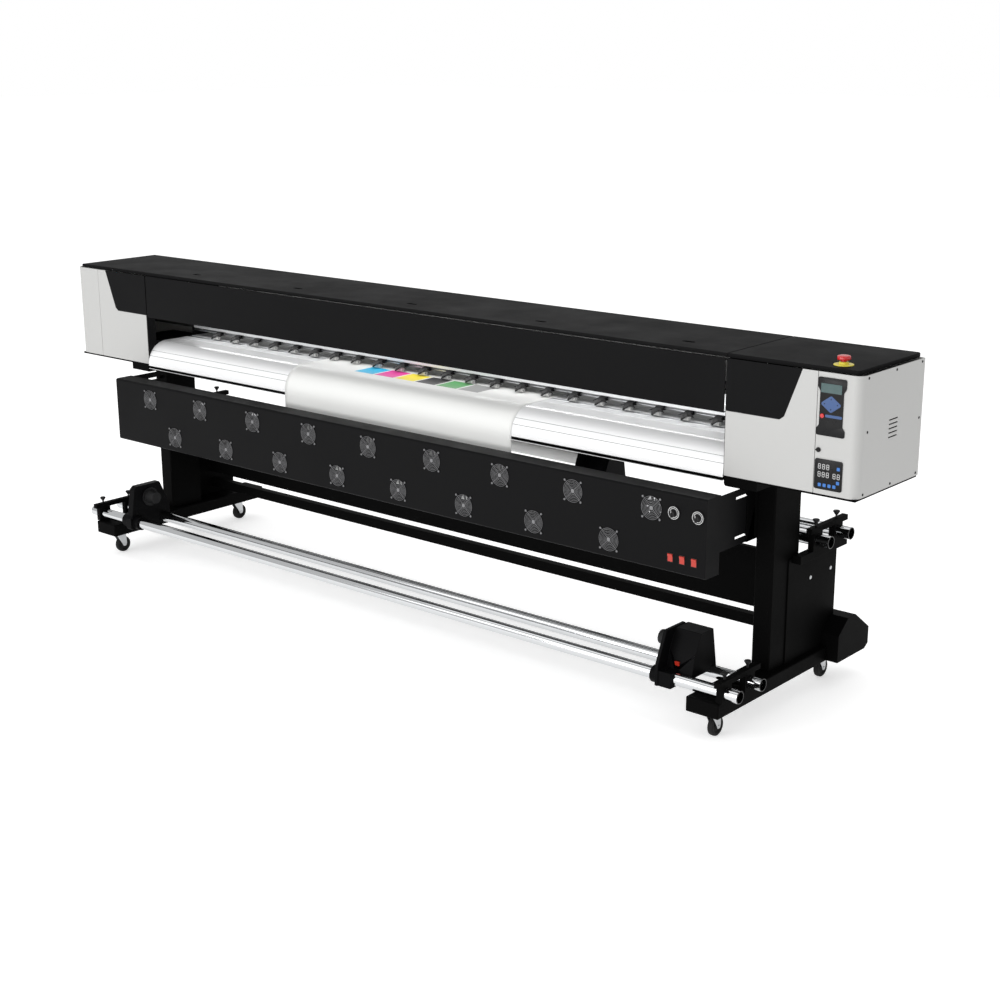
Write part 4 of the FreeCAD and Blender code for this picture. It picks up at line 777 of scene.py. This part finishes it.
class PRINTER_OT_castors(PrinterOperator, bpy.types.Operator):
    """Builds the four castors: turned wheels in bent steel forks with brake levers"""

    bl_idname = "printer.castors"
    bl_label = "Castors"

    def build(self, look):
        for corner in CORNERS:
            self.wheel(corner)
            self.fork(corner)

    def wheel(self, corner):
        node = "castor_wheel_" + corner
        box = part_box(node)
        size = extent(box)
        mesh = bmesh.new()
        lathe(mesh, wheel_profile(size.z / 2, size.x), "x", middle(box), 56)
        piece(node + "_turned", mesh, BODIES[node], "rubber", (node,), smooth=40)

    def fork(self, corner):
        node = "castor_fork_" + corner
        low, high = (Vector(p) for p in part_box(node))
        hub = middle(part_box("castor_wheel_" + corner))
        neck = 24 * MM
        head_y = low.y + neck
        half = 17 * MM
        steel = 2.6 * MM
        mesh = bmesh.new()
        lathe(mesh, [(-14 * MM, 0), (-14 * MM, 20 * MM), (-11 * MM, neck), (-4 * MM, neck),
                     (0, 21 * MM), (0, 0)], "z", (hub.x, head_y, high.z), 40)
        top = high.z - 14 * MM
        outline = rounded_outline([
            (low.y, top), (head_y + 33 * MM, top), (hub.y + 13 * MM, hub.z + 6 * MM),
            (hub.y + 8 * MM, hub.z - 9 * MM), (hub.y - 8 * MM, hub.z - 9 * MM),
            (hub.y - 15 * MM, hub.z + 6 * MM)], 7 * MM)
        for x in (hub.x - half, hub.x + half - steel):
            plate(mesh, outline, "x", x, steel)
        block(mesh, (hub.x - half, low.y, top - 3 * MM),
              (hub.x + half, head_y + 33 * MM, top))
        axle = [(-19 * MM, 0), (-19 * MM, 5 * MM), (-17 * MM, 6 * MM), (17 * MM, 6 * MM),
                (19 * MM, 5 * MM), (19 * MM, 0)]
        lathe(mesh, axle, "x", hub, 18)
        lever = [(high.y - 34 * MM, top - 3 * MM), (high.y - 34 * MM, top), (high.y - 8 * MM, top - 3 * MM),
                 (high.y - 1 * MM, top - 9 * MM), (high.y - 4 * MM, top - 11 * MM),
                 (high.y - 12 * MM, top - 6 * MM)]
        plate(mesh, lever, "x", hub.x - 11 * MM, 22 * MM)
        piece(node + "_bent", mesh, BODIES[node], "steel", (node,), rounding=(0.5 * MM,))


# ---------------------------------------------------------------- covers


class PRINTER_OT_covers(PrinterOperator, bpy.types.Operator):
    """Finishes the end caps, front panels, insets, rear cover, lid and flap"""

    bl_idname = "printer.covers"
    bl_label = "Covers"

    def build(self, look):
        for node in ("end_cap_left", "end_cap_right", "front_panels", "rear_cover"):
            softened(node, MATERIALS["cover"], look.edge_width)
        for node in ("inner_panels", "front_flap"):
            softened(node, MATERIALS["black"], look.edge_width * 0.8)
        coat("lid", MATERIALS["lid"])


# ---------------------------------------------------------------- printing section


class PRINTER_OT_printing(PrinterOperator, bpy.types.Operator):
    """Finishes the platen, heater plate, feed rollers, beam and carriage"""

    bl_idname = "printer.printing"
    bl_label = "Printing section"

    def build(self, look):
        self.heater()
        coat("rear_guide", MATERIALS["heater"])
        softened("platen", MATERIALS["bed"], 0.8)
        softened("guide_beam", MATERIALS["beam"], 1.5)
        softened("carriage", MATERIALS["plastic"], 2.0, 3)
        softened("capping_station", MATERIALS["plastic"], 1.0)
        softened("print_heads", MATERIALS["grey"], 1.0)
        coat("belt_drive", MATERIALS["belt"])
        coat("grit_roller", MATERIALS["steel"])
        coat("pinch_rollers", MATERIALS["pale_rubber"])
        self.arms()

    def heater(self):
        """The bent front plate, with a shallow groove where its strips meet."""
        low, high = (Vector(p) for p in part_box("front_heater"))
        thick = 3 * MM
        centre = Vector((0, low.y + HEATER_BEND, high.z - HEATER_BEND))
        turns = [math.radians(a) for a in range(0, 91, 3)]
        outer = [(low.y, low.z), (low.y, centre.z - 20 * MM)]
        outer += [(low.y + HEATER_GROOVE, centre.z - 18.6 * MM), (low.y, centre.z - HEATER_FLAT_SEAM)]
        for turn in turns:
            degrees = round(math.degrees(turn))
            outer.append((centre.y - HEATER_BEND * math.cos(turn), centre.z + HEATER_BEND * math.sin(turn)))
            if degrees in HEATER_SEAMS:
                for step, depth in ((0.5, HEATER_GROOVE), (1.0, 0.0)):
                    at = math.radians(degrees + step)
                    reach = HEATER_BEND - depth
                    outer.append((centre.y - reach * math.cos(at), centre.z + reach * math.sin(at)))
        outer.append((high.y, high.z))
        inner = [(high.y, high.z - thick)]
        reach = HEATER_BEND - thick
        for turn in reversed(turns):
            inner.append((centre.y - reach * math.cos(turn), centre.z + reach * math.sin(turn)))
        inner.append((low.y + thick, low.z))
        mesh = bmesh.new()
        plate(mesh, outer + inner, "x", low.x, high.x - low.x)
        piece("front_heater_plate", mesh, "frame", "heater", ("front_heater",),
              smooth=25)

    def arms(self):
        """Pinch arms: a block on the lift shaft, a cover with three drooping points and two cheeks."""
        low, high = (Vector(p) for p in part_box("pinch_arms"))
        rollers = solids("pinch_rollers")
        centre = middle(rollers[0])
        points = [(middle(pair).x, 0, 0) for pair in rollers]
        mesh = bmesh.new()
        top, back, front = high.z, high.y, low.y
        side = 17 * MM
        block(mesh, (-side, back - 29 * MM, top - 16 * MM), (side, back, top))
        rim = [(-side, back - 27 * MM, -1), (-16 * MM, centre.y + 9 * MM, -5),
               (-37 * MM, centre.y + 1 * MM, -16), (-14 * MM, centre.y - 9 * MM, -10),
               (-4 * MM, front + 2 * MM, -25), (4 * MM, front + 2 * MM, -25),
               (14 * MM, centre.y - 9 * MM, -10), (37 * MM, centre.y + 1 * MM, -16),
               (16 * MM, centre.y + 9 * MM, -5), (side, back - 27 * MM, -1)]
        hubs = []
        rows = []
        for drop in (0.0, 3.0):
            hubs.append(mesh.verts.new((0, centre.y + 4 * MM, top - (4 + drop) * MM)))
            rows.append([mesh.verts.new((x, y, top + (z - drop) * MM)) for x, y, z in rim])
        for i in range(len(rim)):
            j = (i + 1) % len(rim)
            mesh.faces.new((hubs[0], rows[0][i], rows[0][j]))
            mesh.faces.new((hubs[1], rows[1][j], rows[1][i]))
            mesh.faces.new((rows[0][i], rows[1][i], rows[1][j], rows[0][j]))
        cheek = rounded_outline([(centre.y - 7 * MM, centre.z - 5 * MM),
                                 (centre.y + 8 * MM, centre.z - 5 * MM),
                                 (back - 12 * MM, top - 9 * MM), (back - 20 * MM, top - 3 * MM),
                                 (centre.y - 4 * MM, centre.z + 10 * MM)], 3 * MM)
        for x in (-12 * MM, 9.3 * MM):
            plate(mesh, cheek, "x", x, 2.7 * MM)
        outward(mesh)
        round_edges(mesh, 0.5 * MM, 1)
        unit = object_from("pinch_arm_unit", mesh)
        repeated("pinch_arm_row", unit, points, MATERIALS["plastic"], "pinch_arms",
                 ("pinch_arms",))
        shaft = bmesh.new()
        hinge = next(j for j in frame["joints"] if j["name"] == "pinch_lift")["pos_m"]
        lathe(shaft, [(low.x, 0), (low.x, 4 * MM), (low.x + MM, 5 * MM), (high.x - MM, 5 * MM),
                      (high.x, 4 * MM), (high.x, 0)], "x", (0, hinge[1], hinge[2]), 20)
        piece("pinch_lift_shaft", shaft, "pinch_arms", "steel")


# ---------------------------------------------------------------- media


class PRINTER_OT_media(PrinterOperator, bpy.types.Operator):
    """Lays the loaded sheet over the platen and finishes the supply roll"""

    bl_idname = "printer.media"
    bl_label = "Media"

    def build(self, look):
        low, high = (Vector(p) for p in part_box("media_web"))
        roll = middle(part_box("feed_roll"))
        front_bend = 110.5 * MM
        rear_bend = 60.5 * MM
        top = high.z - 0.4 * MM
        front = low.y + 0.4 * MM
        rear = high.y - 0.4 * MM
        quarter = [i / 14 * math.pi / 2 for i in range(15)]
        path = [(rear, roll.z + k * 0.02) for k in range(11)]
        path += [(rear - rear_bend * (1 - math.cos(t)), top - rear_bend * (1 - math.sin(t)))
                 for t in quarter]
        flat_start = rear - rear_bend
        flat_end = front + front_bend
        path += [(flat_start + (flat_end - flat_start) * k / 12, top) for k in range(1, 12)]
        path += [(front + front_bend * (1 - math.sin(t)), top - front_bend * (1 - math.cos(t)))
                 for t in quarter]
        hang_top = top - front_bend
        hang = hang_top - low.z
        path += [(front, hang_top - hang * k / 20) for k in range(1, 21)]
        path = [path[0]] + [b for a, b in zip(path, path[1:]) if math.dist(a, b) > 0.1 * MM]
        lengths = [0.0]
        for a, b in zip(path, path[1:]):
            lengths.append(lengths[-1] + math.dist(a, b))
        total = lengths[-1]
        width = high.x - low.x
        columns = 60
        mesh = bmesh.new()
        layer = mesh.loops.layers.uv.new("sheet")
        rows = []
        for y, z in path:
            free = max(0.0, (hang_top - z) / hang) if y < 0 else 0.0
            row = []
            for i in range(columns + 1):
                share = i / columns
                ripple = math.sin(share * 9.0 + 0.6) * 1.6 + math.sin(share * 23.0) * 0.6
                sway = free * free * (ripple + 1.4) * MM
                row.append(mesh.verts.new((low.x + width * share, y - max(0.0, sway - 2.2 * MM), z)))
            rows.append(row)
        for r in range(len(rows) - 1):
            for i in range(columns):
                face = mesh.faces.new((rows[r][i], rows[r][i + 1], rows[r + 1][i + 1], rows[r + 1][i]))
                marks = ((i, r), (i + 1, r), (i + 1, r + 1), (i, r + 1))
                for loop, (column, line) in zip(face.loops, marks):
                    loop[layer].uv = (column / columns, lengths[line] / total)
        bmesh.ops.recalc_face_normals(mesh, faces=mesh.faces)
        sheet = object_from("media_sheet", mesh)
        thick = sheet.modifiers.new("thickness", "SOLIDIFY")
        thick.thickness = look.sheet_thickness
        thick.offset = 0.0
        finish(sheet, "frame", MATERIALS["media"], ("media_web",), smooth=60)
        coat("feed_roll", MATERIALS["roll"])


# ---------------------------------------------------------------- controls


def seven_segments(mesh, left, bottom, tall, wide, y, stroke):
    """Adds one figure eight of a number display, as seven thin bars."""
    mid = bottom + tall / 2
    right = left + wide
    gap = stroke * 0.25
    bars = []
    for z in (bottom, mid, bottom + tall):
        bars.append((left + gap, z - stroke / 2, right - gap, z + stroke / 2))
    for x in (left, right):
        for z in (bottom, mid):
            bars.append((x - stroke / 2, z + gap, x + stroke / 2, z + tall / 2 - gap))
    for x0, z0, x1, z1 in bars:
        block(mesh, (x0, y - 0.25 * MM, z0), (x1, y, z1))


def keys_at(mesh, places, size, y, rise=0.9 * MM):
    """Adds a square key with rounded corners at each (x, z) place."""
    for x, z in places:
        outline = rounded_box((x - size, z - size), (x + size, z + size), size * 0.35, 3)
        plate(mesh, outline, "y", y - rise, rise)


class PRINTER_OT_controls(PrinterOperator, bpy.types.Operator):
    """Builds both control panels, the emergency stop, the latch and the power button"""

    bl_idname = "printer.controls"
    bl_label = "Controls"

    def build(self, look):
        boxes = solids("control_panels")
        self.upper_panel(max(boxes, key=lambda pair: pair[1].z))
        self.lower_panel(min(boxes, key=lambda pair: pair[0].z))
        self.stop()
        self.latch()

    def upper_panel(self, pair):
        low, high = pair
        face = low.y + 1.0 * MM
        wide = extent(pair).x
        tall = extent(pair).z
        waist = 10 * MM

        def at(u, v):
            return (low.x + u * wide, low.z + v * tall)

        right = [(1.0, 0.12), (1.0 - waist / wide, 0.18), (1.0 - waist / wide, 0.76), (1.0, 0.84)]
        outline = [at(0.0, 0.0), at(1.0, 0.0)] + [at(*p) for p in right] + [at(1.0, 1.0), at(0.0, 1.0)]
        outline += [at(1 - u, v) for u, v in reversed(right)]
        outline = rounded_outline(outline, 7 * MM, 4)
        mesh = bmesh.new()
        plate(mesh, outline, "y", face, high.y - face)
        piece("upper_panel_bezel", mesh, "frame", "film", ("control_panels",),
              rounding=(0.8 * MM,))
        shown = max(solids("displays"), key=lambda p: p[0].z)
        window = bmesh.new()
        plate(window, rounded_box(shown[0].xz, shown[1].xz, 1.5 * MM), "y", shown[0].y,
              extent(shown).y + 0.2 * MM)
        piece("display_window", window, "frame", "window", ("displays",))
        centre = at(0.49, 0.55)
        reach = (43 * MM, 31 * MM)
        pad = bmesh.new()
        diamond = [(centre[0] - reach[0], centre[1]), (centre[0], centre[1] - reach[1]),
                   (centre[0] + reach[0], centre[1]), (centre[0], centre[1] + reach[1])]
        plate(pad, rounded_outline(diamond, 7 * MM, 5), "y", face - 0.7 * MM, 1.2 * MM)
        piece("direction_pad", pad, "frame", "blue", rounding=(0.25 * MM, 1))
        marks = bmesh.new()
        for dx, dz in ((-0.62, 0), (0.62, 0), (0, 0.62), (0, -0.62)):
            tip = Vector((centre[0] + dx * reach[0], centre[1] + dz * reach[1]))
            ahead = Vector((dx, dz)).normalized() * 3 * MM
            across = Vector((-ahead.y, ahead.x)) * 0.8
            plate(marks, [tuple(tip + ahead), tuple(tip - ahead + across), tuple(tip - ahead - across)],
                  "y", face - 0.95 * MM, 0.4 * MM)
        piece("direction_marks", marks, "frame", "film")
        bar = bmesh.new()
        z = at(0, 0.345)[1]
        plate(bar, rounded_box((low.x + 34 * MM, z - 5 * MM), (high.x - 12 * MM, z + 5 * MM), 4.5 * MM),
              "y", face - 0.7 * MM, 1.2 * MM)
        piece("menu_bar", bar, "frame", "blue")
        button = middle(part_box("power_button"))
        low_b, high_b = (Vector(p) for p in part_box("power_button"))
        radius = (high_b.x - low_b.x) / 2
        turned = bmesh.new()
        lathe(turned, [(high_b.y, 0), (high_b.y, radius), (low_b.y + MM, radius),
                       (low_b.y, radius - MM), (low_b.y, radius * 0.62), (low_b.y + 0.8 * MM, radius * 0.5),
                       (low_b.y + 0.8 * MM, 0)], "y", (button.x, 0, button.z), 36)
        piece("power_ring_button", turned, "power_button", "red",
              ("power_button",))

    def lower_panel(self, pair):
        low, high = pair
        wide, depth, tall = extent(pair)
        mesh = bmesh.new()
        plate(mesh, rounded_box(low.xz, high.xz, 8 * MM, 6), "y", low.y + 0.6 * MM, depth - 0.6 * MM)
        piece("lower_panel_bezel", mesh, "frame", "film", rounding=(0.8 * MM,))
        face = low.y + 0.6 * MM
        digits = bmesh.new()
        for level, starts in ((0.68, (0.14, 0.29, 0.44)), (0.42, (0.14, 0.29, 0.44, 0.68, 0.83))):
            for start in starts:
                seven_segments(digits, low.x + start * wide, low.z + level * tall, 17 * MM, 9 * MM,
                               face, 1.8 * MM)
        finish(object_from("number_displays", digits), "frame", MATERIALS["mark"])
        keys = bmesh.new()
        bottom = [(low.x + wide * (0.21 + 0.175 * i), low.z + 0.15 * tall) for i in range(4)]
        side = [(low.x + 0.86 * wide, low.z + v * tall) for v in (0.29, 0.75)]
        keys_at(keys, bottom + side, 6.2 * MM, face)
        piece("number_keys", keys, "frame", "blue_bright", rounding=(0.3 * MM, 1))

    def stop(self):
        low, high = (Vector(p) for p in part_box("estop_button"))
        base_low, base_high = (Vector(p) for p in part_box("estop_collar"))
        centre = middle((base_low, base_high))
        radius = (high.x - low.x) / 2
        cap = bmesh.new()
        bottom = low.z + 11 * MM
        lathe(cap, [(low.z, 0), (low.z, 10 * MM), (bottom, 10 * MM), (bottom, radius * 0.8),
                    (bottom + 1.5 * MM, radius * 0.97), (bottom + 4 * MM, radius),
                    (high.z - 4 * MM, radius), (high.z - 1.6 * MM, radius * 0.95),
                    (high.z - 0.4 * MM, radius * 0.8), (high.z, radius * 0.5), (high.z, 0)], "z",
              (centre.x, centre.y, 0), 56)
        piece("stop_mushroom", cap, "estop_button", "red", ("estop_button",),
              smooth=50)
        outer = (base_high.x - base_low.x) / 2
        ring = bmesh.new()
        z0, z1 = base_low.z, base_high.z
        lathe(ring, [(z0, 0), (z0, outer), (z0 + 1.8 * MM, outer), (z0 + 3 * MM, outer - 1.4 * MM),
                     (z0 + 3 * MM, 18 * MM), (z0 + 4 * MM, 17 * MM), (z1 - MM, 17 * MM),
                     (z1, 16 * MM), (z1, 10.4 * MM), (z0 + 1 * MM, 10.4 * MM), (z0 + 1 * MM, 0)], "z",
              (centre.x, centre.y, 0), 56)
        piece("stop_collar_ring", ring, "frame", "yellow", ("estop_collar",))

    def latch(self):
        low, high = (Vector(p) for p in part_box("quarter_latch"))
        centre = middle((low, high))
        radius = (high.x - low.x) / 2
        mesh = bmesh.new()
        lathe(mesh, [(high.y, 0), (high.y, radius), (low.y + 5.6 * MM, radius),
                     (low.y + 4.6 * MM, radius - MM), (low.y + 4.6 * MM, 0)], "y",
              (centre.x, 0, centre.z), 36)
        block(mesh, (low.x + MM, low.y, centre.z - 2.4 * MM), (high.x - MM, low.y + 5 * MM,
                                                                centre.z + 2.4 * MM))
        piece("latch_grip", mesh, "quarter_latch", "plastic",
              ("quarter_latch",), rounding=(0.5 * MM,))


# ---------------------------------------------------------------- dryer


class PRINTER_OT_dryer(PrinterOperator, bpy.types.Operator):
    """Finishes the dryer box with its guards, fans, knobs and rocker switches"""

    bl_idname = "printer.dryer"
    bl_label = "Dryer"

    def build(self, look):
        softened("dryer_shell", MATERIALS["black"], look.edge_width)
        coat("fan_units", MATERIALS["plastic"])
        boxes = solids("fan_guards")
        points = [(middle(p).x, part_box("fan_guards")[1][1] - 2.0 * MM, middle(p).z) for p in boxes]
        guards = grown("wire_guards", TREES["guard"], points, Rings=look.guard_rings,
                       Wire_Radius=look.guard_wire, Finish=MATERIALS["wire"])
        finish(guards, "dryer", MATERIALS["wire"], ("fan_guards",))
        for side in ("left", "right"):
            self.knob(side)
        for node in ("rocker_left", "rocker_middle", "rocker_right"):
            softened(node, MATERIALS["switch"], 1.0, 3)
        self.rocker_frames()

    def rocker_frames(self):
        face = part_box("dryer_shell")[0][1]
        mesh = bmesh.new()
        for node in ("rocker_left", "rocker_middle", "rocker_right"):
            low, high = (Vector(p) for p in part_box(node))
            grow = 2.6 * MM
            inner = 0.5 * MM
            for x0, x1, z0, z1 in (
                    (low.x - grow, low.x - inner, low.z - grow, high.z + grow),
                    (high.x + inner, high.x + grow, low.z - grow, high.z + grow),
                    (low.x - inner, high.x + inner, low.z - grow, low.z - inner),
                    (low.x - inner, high.x + inner, high.z + inner, high.z + grow)):
                block(mesh, (x0, face - 1.4 * MM, z0), (x1, face, z1))
        finish(object_from("rocker_frames", mesh), "dryer", MATERIALS["plastic"])

    def knob(self, side):
        node = "thermostat_knob_" + side
        low, high = (Vector(p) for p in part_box(node))
        centre = middle((low, high))
        radius = (high.x - low.x) / 2
        back, front = high.y, low.y
        body = BODIES[node]
        mesh = bmesh.new()
        lathe(mesh, [(back, 0), (back, radius), (back - 3 * MM, radius), (back - 5 * MM, radius - 2 * MM),
                     (back - 5 * MM, 15.5 * MM), (back - 6 * MM, 14 * MM), (front + 4 * MM, 12.6 * MM),
                     (front + 3 * MM, 11.5 * MM), (front + 3 * MM, 0)], "y",
              (centre.x, 0, centre.z), 60)
        block(mesh, (centre.x - 3 * MM, front, centre.z - 14 * MM),
              (centre.x + 3 * MM, back - 6 * MM, centre.z + 14 * MM))
        piece(node + "_turned", mesh, body, "plastic", (node,), rounding=(0.4 * MM, 1, 40))
        rings = bmesh.new()
        level = back - 5 * MM
        for inner, outer in ((22.2 * MM, 24.4 * MM), (16.2 * MM, 18.4 * MM)):
            lathe(rings, [(level, inner), (level - 0.35 * MM, inner), (level - 0.35 * MM, outer),
                          (level, outer), (level, inner)], "y", (centre.x, 0, centre.z), 60)
        block(rings, (centre.x - 0.9 * MM, front - 0.15 * MM, centre.z + 4 * MM),
              (centre.x + 0.9 * MM, front + MM, centre.z + 13.4 * MM))
        piece(node + "_scale", rings, body, "mark")


# ---------------------------------------------------------------- rods and roll units


class PRINTER_OT_rods(PrinterOperator, bpy.types.Operator):
    """Finishes the rods, the take-up and feed units and their cones"""

    bl_idname = "printer.rods"
    bl_label = "Rods and roll units"

    def build(self, look):
        coat("roll_rods", MATERIALS["chrome"])
        for node in ("takeup_unit_left", "takeup_unit_right", "feed_units"):
            softened(node, MATERIALS["unit"], 1.5, 3)
        softened("takeup_rocker", MATERIALS["switch"], 0.8, 3)
        for node in ("takeup_chuck_left", "takeup_chuck_right"):
            softened(node, MATERIALS["plastic"], 0.8)


# ---------------------------------------------------------------- screws


def screw_unit(name, axis, sign, radius, rise):
    """A domed screw head with a round recess, facing along an axis."""
    mesh = bmesh.new()
    lathe(mesh, [(0, 0), (0, radius), (sign * rise * 0.35, radius), (sign * rise * 0.8, radius * 0.8),
                 (sign * rise, radius * 0.45), (sign * rise, radius * 0.3),
                 (sign * rise * 0.4, radius * 0.12), (sign * rise * 0.4, 0)], axis, (0, 0, 0), 20)
    outward(mesh)
    return object_from(name, mesh)


def thumb_unit(name, pair):
    """A thumbscrew: plain stem, conical grip with a rounded rim."""
    low, high = pair
    tall = high.z - low.z
    radius = (high.x - low.x) / 2
    mesh = bmesh.new()
    rows = lathe(mesh, [(0, 0), (0, 4 * MM), (tall * 0.4, 4 * MM), (tall * 0.42, radius * 0.45),
                        (tall * 0.55, radius * 0.6), (tall * 0.78, radius * 0.96),
                        (tall * 0.88, radius), (tall * 0.97, radius * 0.92), (tall, radius * 0.7),
                        (tall, 0)], "z", (0, 0, 0), 32)
    for row in rows[4:8]:
        for i, vertex in enumerate(row):
            if i % 4 < 2:
                vertex.co.x *= 0.94
                vertex.co.y *= 0.94
    outward(mesh)
    return object_from(name, mesh)


class PRINTER_OT_screws(PrinterOperator, bpy.types.Operator):
    """Builds the cover screws, plate screws and thumbscrews"""

    bl_idname = "printer.screws"
    bl_label = "Screws"

    def build(self, look):
        boxes = solids("screws")
        thumbs = [p for p in boxes if extent(p).z > 20 * MM]
        flats = [p for p in boxes if extent(p).z <= 20 * MM]
        unit = thumb_unit("thumb_unit", thumbs[0])
        points = [(middle(p).x, middle(p).y, p[0].z) for p in thumbs]
        repeated("thumbscrews", unit, points, MATERIALS["plastic"], "frame",
                 ("screws",))
        for side in SIDES:
            word = "right" if side > 0 else "left"
            for label, material, wide in (("cover", "plastic", False), ("plate", "steel", True)):
                chosen = [p for p in flats if middle(p).x * side > 0
                          and (extent(p).z > 13 * MM) == wide]
                rise = extent(chosen[0]).x
                inner = min(abs(chosen[0][0].x), abs(chosen[0][1].x))
                unit = screw_unit("screw_unit", "x", side, extent(chosen[0]).z / 2, rise)
                points = [(side * inner, middle(p).y, middle(p).z) for p in chosen]
                repeated("%s_screws_%s" % (label, word), unit, points, MATERIALS[material], "frame")


# ---------------------------------------------------------------- panel and start

OPERATORS = (
    PRINTER_OT_stage, PRINTER_OT_stand, PRINTER_OT_castors, PRINTER_OT_covers, PRINTER_OT_printing,
    PRINTER_OT_media, PRINTER_OT_controls, PRINTER_OT_dryer, PRINTER_OT_rods, PRINTER_OT_screws,
)


class PRINTER_PT_looks(bpy.types.Panel):
    """Lists the looks and the pieces that can be built"""

    bl_label = "Printer"
    bl_idname = "PRINTER_PT_looks"
    bl_space_type = "VIEW_3D"
    bl_region_type = "UI"
    bl_category = "Printer"

    def draw(self, context):
        for name in PrinterLooks.__annotations__:
            self.layout.prop(context.scene.printer_looks, name)
        for operator in OPERATORS:
            self.layout.operator(operator.bl_idname)


CLASSES = (PrinterLooks, PRINTER_PT_looks) + OPERATORS


def register():
    for item in CLASSES:
        bpy.utils.register_class(item)
    bpy.types.Scene.printer_looks = bpy.props.PointerProperty(type=PrinterLooks)


def unregister():
    del bpy.types.Scene.printer_looks
    for item in reversed(CLASSES):
        bpy.utils.unregister_class(item)


def main():
    register()
    TREES["repeat"] = repeat_tree()
    TREES["guard"] = guard_tree()
    TREES["grain"] = grain_group()
    make_materials(looks())
    for operator in OPERATORS:
        group, name = operator.bl_idname.split(".")
        getattr(getattr(bpy.ops, group), name)()


if __name__ == "__main__":
    main()
